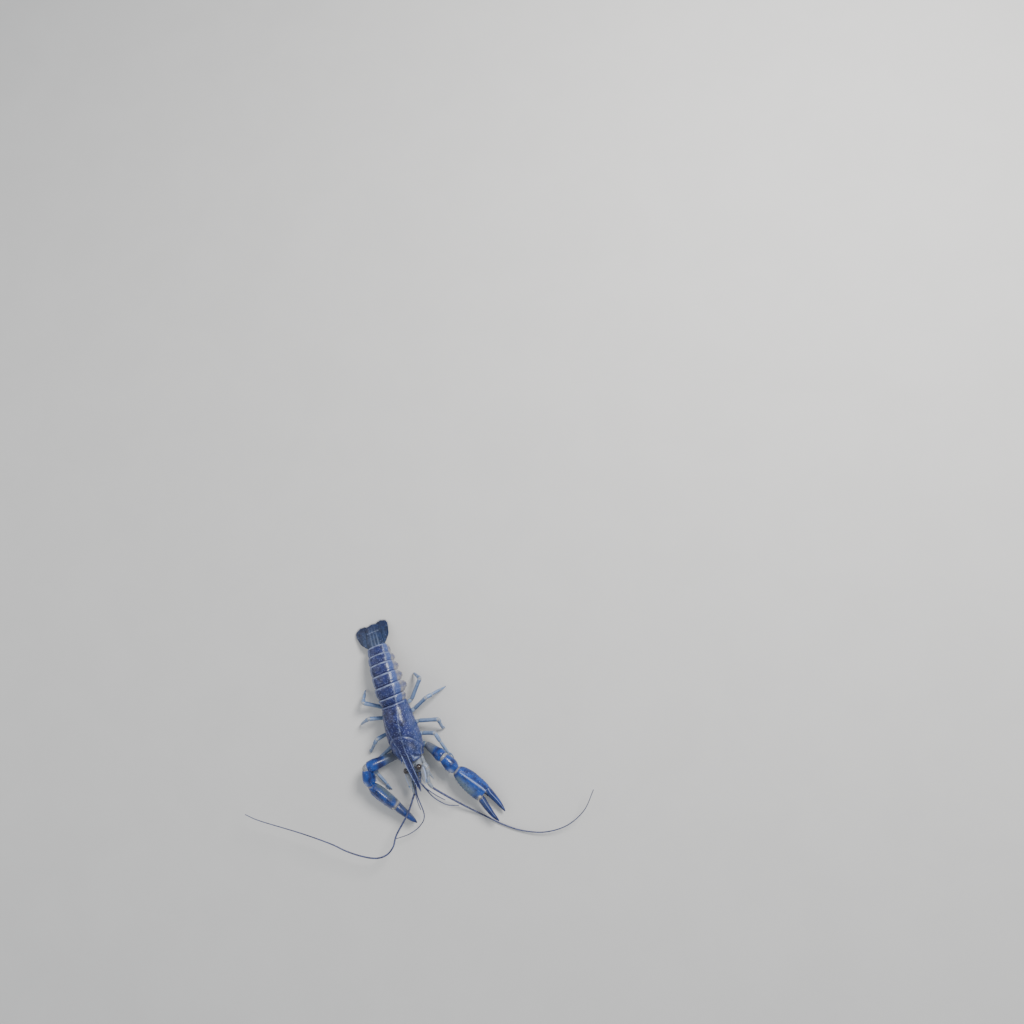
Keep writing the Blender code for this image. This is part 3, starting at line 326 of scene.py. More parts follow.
def sweep(stations, sides, up=UP, start=None, end=None):
    """Rings along stations, a list of (point, half side, half up). Each ring splits the bend at its point,
    and start and end replace the direction at the two ends."""
    points = [station[0] for station in stations]
    rings = []
    for i, (point, half_side, half_up) in enumerate(stations):
        ahead = (points[i + 1] - point).normalized() if i + 1 < len(points) else Vector()
        behind = (point - points[i - 1]).normalized() if i else Vector()
        direction = ahead + behind
        if i == 0 and start is not None:
            direction = start
        if i == len(points) - 1 and end is not None:
            direction = end
        rings.append(oval(point, direction, up, half_side, half_up, sides))
    return rings


def trunk():
    """Places a point of the upright trunk where it stands, leaning to its right."""
    pivot = Vector((0, 0, TRUNK_AXIS_Z))
    stand = Matrix.Translation(pivot + TRUNK_SHIFT) @ Matrix.Rotation(TRUNK_TURN, 4, "Z")
    return stand @ Matrix.Rotation(TRUNK_LEAN, 4, "Y") @ Matrix.Translation(-pivot)


def stood(rings):
    """Rings of the upright trunk, placed where it stands."""
    stand = trunk()
    return [[stand @ p for p in ring] for ring in rings]


def even(**masks):
    """A paint that is the same all over."""
    return lambda *spot: masks


def linked(name, data):
    obj = bpy.data.objects.new(name, data)
    bpy.context.scene.collection.objects.link(obj)
    return obj


class Shells:
    """The closed shells of one piece, gathered loft by loft in millimetres, with masks painted on their points."""

    def __init__(self):
        self.points, self.faces, self.corners = [], [], []
        self.masks = {name: [] for name in MASKS}

    def add(self, rings, paint=None):
        """A closed shell over rings of points. paint gives the masks at ring i and point j of a ring."""
        first, rows, around = len(self.points), len(rings), len(rings[0])
        for i, ring in enumerate(rings):
            for j, point in enumerate(ring):
                values = paint(i, j, point) if paint else {}
                self.points.append(Vector((point.x, point.y, max(point.z, FLOOR_CLEARANCE))))
                for name in MASKS:
                    self.masks[name].append(values.get(name, 0.0))
        faces, corners = [], []
        for i in range(rows - 1):
            for j in range(around):
                k = (j + 1) % around
                low, high = first + i * around, first + (i + 1) * around
                faces.append([low + j, low + k, high + k, high + j])
                u, next_u, v, next_v = i / (rows - 1), (i + 1) / (rows - 1), j / around, (j + 1) / around
                corners.append([(u, v), (u, next_v), (next_u, next_v), (next_u, v)])
        for row, share in ((0, 0.0), (rows - 1, 1.0)):
            loop = list(range(first + row * around, first + (row + 1) * around))
            faces.append(loop[::-1] if row == 0 else loop)
            spots = [(share, j / around) for j in range(around)]
            corners.append(spots[::-1] if row == 0 else spots)
        if self.volume(faces) < 0.0:
            faces = [face[::-1] for face in faces]
            corners = [spots[::-1] for spots in corners]
        self.faces += faces
        self.corners += corners

    def volume(self, faces):
        total = 0.0
        for face in faces:
            a = self.points[face[0]]
            for b, c in zip(face[1:], face[2:]):
                total += a.dot(self.points[b].cross(self.points[c]))
        return total

    def ball(self, centre, axis, radius, length=1.0, sides=18, rows=11, paint=None):
        """A closed ball, drawn out or flattened along an axis."""
        axis = axis.normalized()
        rings = []
        for i in range(rows):
            angle = math.radians(lerp(6.0, 174.0, i / (rows - 1)))
            wide = math.sin(angle) * radius
            rings.append(oval(centre - axis * (math.cos(angle) * radius * length), axis, UP, wide, wide, sides))
        self.add(rings, paint)

    def spine(self, base, tip, radius, sides=8, paint=None):
        """A tapered spine with a rounded root and a fine tip."""
        stations = []
        for t in (0.0, 0.12, 0.3, 0.5, 0.7, 0.86, 1.0):
            wide = radius * lerp(1.0, 0.14, t ** 0.8)
            stations.append((base.lerp(tip, t), wide, wide))
        self.add(sweep(stations, sides), paint or (lambda i, j, p: {"pale": 0.15 * i}))

    def made(self, name, crease=60.0):
        """An object of these shells, in metres at the model's origin."""
        mesh = bpy.data.meshes.new(name)
        mesh.from_pydata([PLACE @ point for point in self.points], [], self.faces)
        spots = mesh.uv_layers.new(name=SHELL_MAP)
        spots.uv.foreach_set("vector", [value for face in self.corners for spot in face for value in spot])
        for mask, values in self.masks.items():
            layer = mesh.attributes.new(mask, "FLOAT", "POINT")
            layer.data.foreach_set("value", values)
        mesh.shade_smooth()
        mesh.set_sharp_from_angle(angle=math.radians(crease))
        return linked(name, mesh)


# Nodes

SOCKET_KINDS = {"Vector": "NodeSocketVector", "Comb": "NodeSocketVector", "Seed": "NodeSocketInt",
                "Sides": "NodeSocketInt", "Material": "NodeSocketMaterial", "Shell": "NodeSocketGeometry",
                "Rim": "NodeSocketGeometry", "Path": "NodeSocketGeometry", "Fringe": "NodeSocketGeometry",
                "Feeler": "NodeSocketGeometry"}


class Tree:
    """A node tree with short ways to add nodes. A value is a plain one or another node's output."""

    def __init__(self, tree):
        self.tree = tree

    def fill(self, inputs, values):
        for key, value in values.items():
            if isinstance(value, bpy.types.NodeSocket):
                self.tree.links.new(value, inputs[key])
            else:
                inputs[key].default_value = value

    def put(self, kind, values=None, **settings):
        node = self.tree.nodes.new(kind)
        for key, value in settings.items():
            setattr(node, key, value)
        self.fill(node.inputs, values or {})
        return node

    def math(self, operation, a, b=0.0, c=0.0):
        return self.put("ShaderNodeMath", {0: a, 1: b, 2: c}, operation=operation).outputs[0]

    def times(self, first, *rest):
        for value in rest:
            first = self.math("MULTIPLY", first, value)
        return first

    def vectors(self, operation, a, b):
        return self.put("ShaderNodeVectorMath", {0: a, 1: b}, operation=operation).outputs[0]

    def joined(self, x, y, z):
        return self.put("ShaderNodeCombineXYZ", {0: x, 1: y, 2: z}).outputs[0]

    def mapped(self, value, low, high, to_low=0.0, to_high=1.0, curve="SMOOTHSTEP"):
        return self.put("ShaderNodeMapRange", {"Value": value, 1: low, 2: high, 3: to_low, 4: to_high},
                        interpolation_type=curve).outputs[0]

    def noise(self, vector, scale, **more):
        values = {key.capitalize(): value for key, value in more.items()}
        return self.put("ShaderNodeTexNoise", {"Vector": vector, "Scale": scale, **values}).outputs["Fac"]

    def blended(self, share, a, b):
        return self.put("ShaderNodeMix", data_type="RGBA", clamp_factor=True, values={0: share, 6: a, 7: b}).outputs[2]

    def grouped(self, group, **values):
        node = self.put("ShaderNodeGroup", node_tree=group())
        self.fill(node.inputs, {key.replace("_", " ").capitalize(): value for key, value in values.items()})
        return node.outputs

    def bump(self, height, strength, distance, invert=False):
        return self.put("ShaderNodeBump", {"Height": height, "Strength": strength, "Distance": distance},
                        invert=invert).outputs["Normal"]

    def named(self, name, kind="FLOAT"):
        node = self.put("GeometryNodeInputNamedAttribute", {"Name": name}, data_type=kind)
        return next(socket for socket in node.outputs if socket.enabled and socket.name == "Attribute")

    def random(self, low, high, seed, kind="FLOAT"):
        node = self.put("FunctionNodeRandomValue", data_type=kind)
        live = [socket for socket in node.inputs if socket.enabled]
        live[0].default_value, live[1].default_value = low, high
        self.tree.links.new(seed, live[-1])
        return next(socket for socket in node.outputs if socket.enabled)


def group(name, inputs, outputs, kind="ShaderNodeTree"):
    """Turns a function that builds a node group into one that gives the group, built once for a file."""
    def mark(build):
        def built():
            tree = bpy.data.node_groups.get(name)
            if tree is None:
                tree = bpy.data.node_groups.new(name, kind)
                for way, sockets in (("INPUT", inputs), ("OUTPUT", dict.fromkeys(outputs))):
                    for socket, default in sockets.items():
                        made = tree.interface.new_socket(
                            socket, in_out=way, socket_type=SOCKET_KINDS.get(socket, "NodeSocketFloat"))
                        if default is not None:
                            made.default_value = default
                build(Tree(tree), tree.nodes.new("NodeGroupInput").outputs, tree.nodes.new("NodeGroupOutput").inputs)
            return tree
        return built
    return mark


@group("Shell speckle", {"Vector": None, "Spacing": 0.0008, "Dot": 0.3, "Share": 0.5}, ["Mask"])
def speckle_group(tree, given, result):
    """Round pale dots of random size, scattered over the shell."""
    scale = tree.math("DIVIDE", 1.0, given["Spacing"])
    cells = tree.put("ShaderNodeTexVoronoi", {"Vector": given["Vector"], "Scale": scale, "Randomness": 1.0}).outputs
    shades = tree.put("ShaderNodeSeparateColor", {"Color": cells["Color"]}).outputs
    reach = tree.times(given["Dot"], tree.mapped(shades[1], 0.0, 1.0, 0.45, 1.2, "LINEAR"))
    dot = tree.mapped(tree.math("DIVIDE", cells["Distance"], reach), 0.45, 1.0, 1.0, 0.0)
    kept = tree.math("LESS_THAN", shades[0], given["Share"])
    strength = tree.mapped(shades[2], 0.0, 1.0, 0.35, 1.0, "LINEAR")
    tree.fill(result, {"Mask": tree.times(dot, kept, strength)})


@group("Shell mottle", {"Vector": None, "Size": 0.004, "Low": 0.35, "High": 0.65}, ["Mask"])
def mottle_group(tree, given, result):
    """Soft patches, with a finer grain inside them."""
    noise = tree.noise(given["Vector"], tree.math("DIVIDE", 1.0, given["Size"]), detail=6.0, roughness=0.62,
                       distortion=0.3)
    tree.fill(result, {"Mask": tree.mapped(noise, given["Low"], given["High"])})


@group("Chitin relief", {"Vector": None, "Pit spacing": 0.0007, "Pits": 0.6, "Grain": 0.3, "Swell": 0.4}, ["Height"])
def relief_group(tree, given, result):
    """The height of a chitin surface: shallow pits, fine grain and long low swellings."""
    spot, scale = given["Vector"], tree.math("DIVIDE", 1.0, given["Pit spacing"])
    cells = tree.put("ShaderNodeTexVoronoi", {"Vector": spot, "Scale": scale, "Smoothness": 0.4}, feature="SMOOTH_F1")
    pit = tree.times(tree.mapped(cells.outputs["Distance"], 0.0, 0.45, -1.0, 0.0), given["Pits"])
    grain = tree.times(tree.noise(spot, tree.times(scale, 3.0), detail=3.0), given["Grain"])
    swell = tree.times(tree.noise(spot, tree.times(scale, 0.22), detail=2.0), given["Swell"])
    tree.fill(result, {"Height": tree.math("ADD", tree.math("ADD", pit, grain), swell)})


@group("Painted zones", {"Vector": None, "Ragged": 0.5}, ["Cream", "Line", "Pale", "Dark"])
def zones_group(tree, given, result):
    """The masks painted on the points, with their edges broken up by noise."""
    noise = tree.noise(given["Vector"], 1400.0, detail=4.0, roughness=0.7)
    wander = tree.times(tree.math("SUBTRACT", noise, 0.5), given["Ragged"])
    for zone in ("Cream", "Line", "Pale", "Dark"):
        painted = tree.put("ShaderNodeAttribute", attribute_name=zone.lower()).outputs["Fac"]
        # the noise has no say where the mask is 0 or 1
        room = tree.times(painted, tree.math("SUBTRACT", 1.0, painted), 4.0)
        ragged = tree.math("MULTIPLY_ADD", room, wander, painted)
        tree.fill(result, {zone: tree.put("ShaderNodeClamp", {"Value": ragged}).outputs[0]})


# Settings that a user would change

def colour_setting(name, description, *default):
    return bpy.props.FloatVectorProperty(name=name, description=description, subtype="COLOR", size=3, default=default)


def length_setting(name, description, default, least=0.0):
    return bpy.props.FloatProperty(name=name, description=description, unit="LENGTH", default=default, min=least,
                                   precision=5)


class CrayfishColours(bpy.types.PropertyGroup):
    """The colours of the living animal, as linear light."""

    shell_deep: colour_setting("Shell, dark", "The darker patches of the back", 0.004, 0.006, 0.032)
    shell_bright: colour_setting("Shell, bright", "The violet blue of the back", 0.021, 0.029, 0.135)
    claw_deep: colour_setting("Claw, dark", "The darker patches of the claws", 0.003, 0.009, 0.070)
    claw_bright: colour_setting("Claw, bright", "The cobalt of the claws", 0.011, 0.066, 0.33)
    leg_deep: colour_setting("Leg, dark", "The darker streaks of the walking legs", 0.050, 0.090, 0.20)
    leg_bright: colour_setting("Leg, bright", "The steel blue of the walking legs", 0.13, 0.22, 0.42)
    feeler_deep: colour_setting("Feeler, dark", "The dark rings of the feelers", 0.025, 0.028, 0.075)
    feeler_bright: colour_setting("Feeler, bright", "The blue grey of the feelers", 0.085, 0.10, 0.21)
    tail_deep: colour_setting("Tail, dark", "The darker patches of the tail fan", 0.005, 0.010, 0.030)
    tail_bright: colour_setting("Tail, bright", "The blue of the tail fan", 0.015, 0.033, 0.095)
    under_deep: colour_setting("Underside, dark", "The darker patches of the underside", 0.12, 0.15, 0.22)
    under_bright: colour_setting("Underside, bright", "The grey of the underside", 0.30, 0.33, 0.37)
    speckle: colour_setting("Speckles", "The fine pale dots on the shell", 0.22, 0.27, 0.52)
    cream: colour_setting("Cream", "The joints and the edges of the shell plates", 0.44, 0.40, 0.31)
    # Besides pale lines at grooves and plate margins, this colour paints highlights: the sheen streak along the back,
    # glints beside the eyes, and shine along the claws and wrists.
    line: colour_setting("Pale line", "The thin pale lines at grooves and plate margins", 0.42, 0.50, 0.74)
    # This colour also paints shade over the whole right hand.
    dark: colour_setting("Tips", "The dark tips of the fingers", 0.012, 0.010, 0.05)
    eye: colour_setting("Eye", "The black brown of the eyes", 0.012, 0.008, 0.008)


class CrayfishSizes(bpy.types.PropertyGroup):
    """The sizes of the details that the solids leave out."""

    plate_lip: length_setting("Plate lip", "How far a back plate reaches over the next one", 0.00055)
    areola: length_setting("Back groove spacing", "Distance of the paired back grooves from the middle", 0.0013)
    granule: length_setting("Granule", "Radius of the granules on the shell's flanks", 0.00016)
    granule_density: bpy.props.FloatProperty(
        name="Granule density", description="Granules on a square metre where they are densest",
        default=1.1e6, min=0.0)
    fringe: length_setting("Fringe", "Length of the bristles along the tail fan", 0.0013)
    fringe_spacing: length_setting("Fringe spacing", "Distance between bristles of a fringe", 0.00016, 0.00002)
    hair: length_setting("Hair", "Length of the hairs on legs and mouthparts", 0.0009)
    feeler_ring: length_setting("Feeler ring", "Length of one ring of a feeler", 0.0005, 0.0001)


class CrayfishStudio(bpy.types.PropertyGroup):
    """The floor, the lamps and the camera."""

    floor_colour: colour_setting("Floor", "The pale floor", 0.72, 0.70, 0.67)
    floor_size: bpy.props.FloatProperty(
        name="Floor size", description="Side of the square floor", unit="LENGTH",
        default=round((CAD_HIGH.x - CAD_LOW.x) * 60.0, 2))
    key_power: bpy.props.FloatProperty(
        name="Key lamp", description="Power of the lamp that casts the main light", default=10.0, unit="POWER")
    fill_power: bpy.props.FloatProperty(
        name="Fill lamp", description="Power of the lamp on the other side", default=1.5, unit="POWER")
    sky: bpy.props.FloatProperty(
        name="Sky", description="Strength of the even light from all sides", default=0.56)
    camera_place: bpy.props.FloatVectorProperty(
        name="Camera", description="Where the camera stands", subtype="TRANSLATION", unit="LENGTH", size=3,
        default=(0.1383, 0.0648, 0.4280))
    camera_turn: bpy.props.FloatVectorProperty(
        name="Camera turn", description="The camera's turn about X, Y and Z", subtype="EULER", unit="ROTATION", size=3,
        default=(math.radians(7.913), math.radians(5.657), math.radians(-15.3)))
    lens: bpy.props.FloatProperty(
        name="Lens", description="Focal length on a 36 mm sensor", default=20.742, unit="CAMERA")


SETTINGS = {"crayfish_colours": CrayfishColours, "crayfish_sizes": CrayfishSizes, "crayfish_studio": CrayfishStudio}


def colours():
    return bpy.context.scene.crayfish_colours


def sizes():
    return bpy.context.scene.crayfish_sizes


def opaque(colour):
    return (*colour, 1.0)


# Finishes: what sets one chitin finish apart from the others, by material slot. Mottle, spacing and relief are
# lengths in metres, rough goes from the smooth to the rough skin, pale is a colour and the rest are shares.
TRAITS = ("mottle", "spacing", "dot", "share", "dust", "rough", "coat", "pits", "grain", "relief", "pale", "streaks")
FINISHES = {
    "shell": (0.0034, 0.00086, 0.46, 0.80, 0.36, (0.26, 0.44), 0.22, 0.8, 0.4, 0.00010, (0.065, 0.105, 0.29), 0.0),
    "claw": (0.0036, 0.00090, 0.34, 0.45, 0.25, (0.22, 0.40), 0.30, 0.9, 0.3, 0.00010, (0.11, 0.15, 0.18), 0.85),
    "leg": (0.0026, 0.00060, 0.34, 0.35, 0.2, (0.28, 0.46), 0.25, 0.4, 0.4, 0.00005, (0.30, 0.38, 0.52), 0.35),
    "feeler": (0.0022, 0.00050, 0.25, 0.2, 0.0, (0.30, 0.50), 0.15, 0.3, 0.4, 0.00002, (0.14, 0.17, 0.28), 0.0),
    "tail": (0.0030, 0.00080, 0.36, 0.50, 0.35, (0.30, 0.48), 0.20, 0.5, 0.5, 0.00007, (0.04, 0.075, 0.15), 0.0),
    "under": (0.0024, 0.00070, 0.34, 0.3, 0.2, (0.34, 0.52), 0.20, 0.4, 0.5, 0.00006, (0.34, 0.37, 0.42), 0.0),
}


def finish(name, build, *more):
    """A material found by its name, or made by build from its tree, the shader's inputs and a spot on the piece."""
    material = bpy.data.materials.get(name)
    if material is None:
        material = bpy.data.materials.new(name)
        material.use_nodes = True
        tree = Tree(material.node_tree)
        spot = tree.put("ShaderNodeTexCoord").outputs["Object"]
        build(tree, material.node_tree.nodes["Principled BSDF"].inputs, spot, *more)
    return material


def chitin_nodes(tree, shader, spot, slot):
    look, tint = dict(zip(TRAITS, FINISHES[slot])), colours()
    spacing = look["spacing"]
    mottle = tree.grouped(mottle_group, vector=spot, size=look["mottle"], low=0.34, high=0.66)["Mask"]
    cloud = tree.grouped(mottle_group, vector=spot, size=look["mottle"] * 3.1, low=0.40, high=0.62)["Mask"]
    dots = tree.grouped(speckle_group, vector=spot, spacing=spacing, dot=look["dot"], share=look["share"])["Mask"]
    zones = tree.grouped(zones_group, vector=spot, ragged=0.9)
    deep, bright, speckle = (opaque(getattr(tint, name)) for name in (slot + "_deep", slot + "_bright", "speckle"))
    base = tree.blended(mottle, deep, bright)
    base = tree.blended(tree.times(cloud, 0.35), base, bright)
    base = tree.blended(tree.times(zones["Pale"], 0.9), base, opaque(look["pale"]))
    if look["streaks"]:
        # short dark dashes along the shell, by its own map
        laid = tree.vectors("MULTIPLY", tree.put("ShaderNodeUVMap", uv_map=SHELL_MAP).outputs[0], (26.0, 46.0, 1.0))
        dashes = tree.grouped(speckle_group, vector=laid, spacing=1.0, dot=0.42, share=0.6)["Mask"]
        base = tree.blended(tree.times(dashes, zones["Pale"], look["streaks"]), base, deep)
    if look["dust"]:
        dust = tree.grouped(speckle_group, vector=spot, spacing=spacing * 0.46, dot=0.44, share=0.6)["Mask"]
        base = tree.blended(tree.times(dust, look["dust"]), base, speckle)
    # The Line zone lays pale lines and painted highlights, the Dark zone dark marks and painted shade.
    for mask, share, tone in ((dots, 0.8, speckle), (zones["Cream"], 0.92, opaque(tint.cream)),
                              (zones["Line"], 0.85, opaque(tint.line)), (zones["Dark"], 0.9, opaque(tint.dark))):
        base = tree.blended(tree.times(mask, share), base, tone)
    smooth_skin, rough_skin = look["rough"]
    relief = tree.grouped(relief_group, vector=spot, pit_spacing=spacing * 0.9, pits=look["pits"],
                          grain=look["grain"], swell=0.5)["Height"]
    tree.fill(shader, {
        "Base Color": base, "Roughness": tree.mapped(mottle, 0.0, 1.0, rough_skin, smooth_skin, "LINEAR"),
        "Specular IOR Level": 0.35, "Coat Weight": look["coat"], "Coat Roughness": 0.12,
        "Subsurface Weight": 0.06, "Subsurface Radius": (0.4, 0.5, 1.0), "Subsurface Scale": 0.0006,
        "Normal": tree.bump(relief, 0.7, look["relief"])})


def chitin(slot):
    """The finish of a shell plate in one of the slots: mottled, speckled and wet, with its painted zones."""
    return finish("chitin_" + slot, chitin_nodes, slot)


def eye_nodes(tree, shader, spot):
    """Dark and glossy, with the fine facets of a compound eye."""
    glow = tree.grouped(mottle_group, vector=spot, size=0.0015, low=0.35, high=0.7)["Mask"]
    zones = tree.grouped(zones_group, vector=spot, ragged=0.6)
    base = tree.blended(glow, opaque(colours().eye), (0.045, 0.024, 0.018, 1.0))
    facets = tree.put("ShaderNodeTexVoronoi", {"Vector": spot, "Scale": 9000.0, "Randomness": 0.35}).outputs["Distance"]
    tree.fill(shader, {
        "Base Color": tree.blended(zones["Pale"], base, opaque(colours().under_deep)),
        "Roughness": tree.mapped(facets, 0.0, 0.7, 0.10, 0.28), "Coat Weight": 0.9, "Coat Roughness": 0.04,
        "Normal": tree.bump(facets, 0.25, 0.00002, invert=True)})


def floor_nodes(tree, shader, spot, pale):
    cloud = tree.grouped(mottle_group, vector=spot, size=0.05, low=0.3, high=0.7)["Mask"]
    shaded = (*(channel * 0.97 for channel in pale), 1.0)
    tree.fill(shader, {"Base Color": tree.blended(cloud, shaded, opaque(pale)), "Roughness": 0.75})


# Geometry Nodes

def placed(tree, points, instance, turn, scale):
    return tree.put("GeometryNodeInstanceOnPoints",
                    {"Points": points, "Instance": instance, "Rotation": turn, "Scale": scale}).outputs[0]


def scattered(tree, given, mask):
    """Random points on a shell, dense where its mask asks for them."""
    density = tree.times(tree.named(mask), given["Density"])
    return tree.put("GeometryNodeDistributePointsOnFaces",
                    {"Mesh": given["Shell"], "Density": density, "Seed": given["Seed"]},
                    distribute_method="RANDOM").outputs


def bristles(tree, given, points, way, spread, length, least):
    """Thin closed cones on points, give or take a random lean and a random share of their length."""
    seed, radius = given["Seed"], given["Radius"]
    lean = tree.random((-spread,) * 3, (spread,) * 3, seed, "FLOAT_VECTOR")
    aim = tree.vectors("ADD", way, lean)
    turn = tree.put("FunctionNodeAlignRotationToVector", {"Vector": aim}, axis="Z").outputs[0]
    cone = tree.put("GeometryNodeMeshCone", {"Vertices": 4, "Radius Top": 0.1, "Radius Bottom": 1.0, "Depth": 1.0},
                    fill_type="NGON").outputs["Mesh"]
    scale = tree.joined(radius, radius, tree.times(length, tree.random(least, 1.0, seed)))
    return placed(tree, points, cone, turn, scale)


def closing(tree, given, result, geometry, shell=None):
    """Ends a tree in real geometry with one material, together with the shell that it grew on."""
    if shell:
        both = tree.put("GeometryNodeJoinGeometry")
        tree.fill(both.inputs, {0: geometry})
        tree.fill(both.inputs, {0: shell})
        geometry = both.outputs[0]
    real = tree.put("GeometryNodeRealizeInstances", {"Geometry": geometry}).outputs[0]
    dressed = tree.put("GeometryNodeSetMaterial", {"Geometry": real, "Material": given["Material"]}).outputs[0]
    tree.fill(result, {0: dressed})


@group("Granules on a shell", {"Shell": None, "Density": 1.0e6, "Radius": 0.0002, "Seed": 1, "Material": None},
       ["Shell"], "GeometryNodeTree")
def granule_tree(tree, given, result):
    """Low rounded granules scattered over a shell where its mask asks for them."""
    points = scattered(tree, given, "granules")
    grain = tree.put("GeometryNodeMeshIcoSphere", {"Radius": 1.0, "Subdivisions": 1}).outputs[0]
    size = tree.times(given["Radius"], tree.random(0.5, 1.25, given["Seed"]))
    grains = placed(tree, points["Points"], grain, points["Rotation"], tree.joined(size, size, tree.times(size, 0.7)))
    closing(tree, given, result, grains, given["Shell"])


@group("Hairs on a shell", {"Shell": None, "Density": 4.0e5, "Length": 0.0009, "Radius": 0.00003,
                            "Comb": (0.0, 0.0, 0.0), "Seed": 1, "Material": None}, ["Shell"], "GeometryNodeTree")
def hair_tree(tree, given, result):
    """Short hairs grown from a shell where its mask asks for them, combed along the limb."""
    points = scattered(tree, given, "hairs")
    combed = tree.vectors("ADD", points["Normal"], given["Comb"])
    hairs = bristles(tree, given, points["Points"], combed, 0.35, given["Length"], 0.55)
    closing(tree, given, result, hairs, given["Shell"])


@group("Fringe along a rim", {"Rim": None, "Spacing": 0.0002, "Length": 0.0013, "Radius": 0.00005, "Seed": 1,
                              "Material": None}, ["Fringe"], "GeometryNodeTree")
def fringe_tree(tree, given, result):
    """A row of bristles along a rim, each pointing the way that the rim's outward attribute gives."""
    rim = tree.put("GeometryNodeMeshToCurve", {"Mesh": given["Rim"]}).outputs[0]
    even = tree.put("GeometryNodeResampleCurve", {"Curve": rim, "Length": given["Spacing"]}, mode="LENGTH").outputs[0]
    length = tree.times(given["Length"], tree.named("reach"))
    row = bristles(tree, given, even, tree.named("outward", "FLOAT_VECTOR"), 0.16, length, 0.8)
    closing(tree, given, result, row)


@group("Ringed feeler", {"Path": None, "Ring": 0.0005, "Notch": 0.16, "Sides": 12, "Material": None}, ["Feeler"],
       "GeometryNodeTree")
def feeler_tree(tree, given, result):
    """A long flagellum of short rings, along a path whose points carry their own thickness."""
    path = tree.put("GeometryNodeMeshToCurve", {"Mesh": given["Path"]}).outputs[0]
    step = tree.math("DIVIDE", given["Ring"], 4.0)
    even = tree.put("GeometryNodeResampleCurve", {"Curve": path, "Length": step}, mode="LENGTH").outputs[0]
    place = tree.math("MODULO", tree.put("GeometryNodeInputIndex").outputs[0], 4.0)
    notch = tree.times(tree.math("COMPARE", place, 0.0, 0.1), given["Notch"])
    thick = tree.times(tree.named("thick"), tree.math("SUBTRACT", 1.0, notch))
    ring = tree.put("GeometryNodeCurvePrimitiveCircle", {"Resolution": given["Sides"], "Radius": 1.0}).outputs[0]
    tube = tree.put("GeometryNodeCurveToMesh",
                    {"Curve": even, "Profile Curve": ring, "Scale": thick, "Fill Caps": True}).outputs[0]
    closing(tree, given, result, tree.put("GeometryNodeSetShadeSmooth", {"Geometry": tube}).outputs[0])


def grow(obj, tree, slot, **values):
    """Runs a tree on an object with its inputs set by name, and keeps the result as the object's plain mesh."""
    values["Material"] = chitin(slot)
    modifier = obj.modifiers.new(tree.name, "NODES")
    modifier.node_group = tree
    for item in tree.interface.items_tree:
        if item.in_out == "INPUT" and item.name in values:
            modifier[item.identifier] = values[item.name]
    graph = bpy.context.evaluated_depsgraph_get()
    mesh = bpy.data.meshes.new_from_object(obj.evaluated_get(graph))
    obj.modifiers.clear()
    old, obj.data = obj.data, mesh
    mesh.name = obj.name
    bpy.data.meshes.remove(old)


def handed_over(obj, slot, nodes, material=None):
    """Gives a finished piece its material, ties it to the frame and hides the solids that it stands for."""
    obj.data.materials.clear()
    obj.data.materials.append(material or chitin(slot))
    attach(obj, "root")
    if nodes:
        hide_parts(*nodes)


def path_object(name, paths, *layers):
    """Open paths in millimetres as one object of edges. After each point comes its value in every layer."""
    entries, edges = [entry for path in paths for entry in path], []
    for path in paths:
        first = edges[-1][1] + 1 if edges else 0
        edges += [(first + i, first + i + 1) for i in range(len(path) - 1)]
    mesh = bpy.data.meshes.new(name)
    mesh.from_pydata([PLACE @ entry[0] for entry in entries], edges, [])
    for layer, *values in zip(layers, *(entry[1:] for entry in entries)):
        if isinstance(values[0], Vector):
            flat = [part for value in values for part in value]
            mesh.attributes.new(layer, "FLOAT_VECTOR", "POINT").data.foreach_set("vector", flat)
        else:
            mesh.attributes.new(layer, "FLOAT", "POINT").data.foreach_set("value", values)
    return linked(name, mesh)


def fringe(name, rims, slot, length, radius=0.00005, seed=3):
    """Bristles along rims, each a list of (point, outward direction, reach)."""
    obj = path_object(name, rims, "outward", "reach")
    grow(obj, fringe_tree(), slot, Spacing=sizes().fringe_spacing, Length=length, Radius=radius, Seed=seed)
    handed_over(obj, slot, ())


def finished(shells, name, slot, nodes, granules=(), hairs=(), crease=60.0):
    """Makes a piece of shells and hands it over. Its granules are given by seed and by shares of the usual density
    and radius, its hairs by seed, comb, density and share of the usual length."""
    obj, size = shells.made(name, crease), sizes()
    if granules:
        seed, share, radius = granules
        grow(obj, granule_tree(), slot, Density=size.granule_density * share, Radius=size.granule * radius, Seed=seed)
    if hairs:
        seed, comb, density, length = hairs
        grow(obj, hair_tree(), slot, Density=density, Length=size.hair * length, Comb=comb, Seed=seed)
    handed_over(obj, slot, nodes)


# Stage

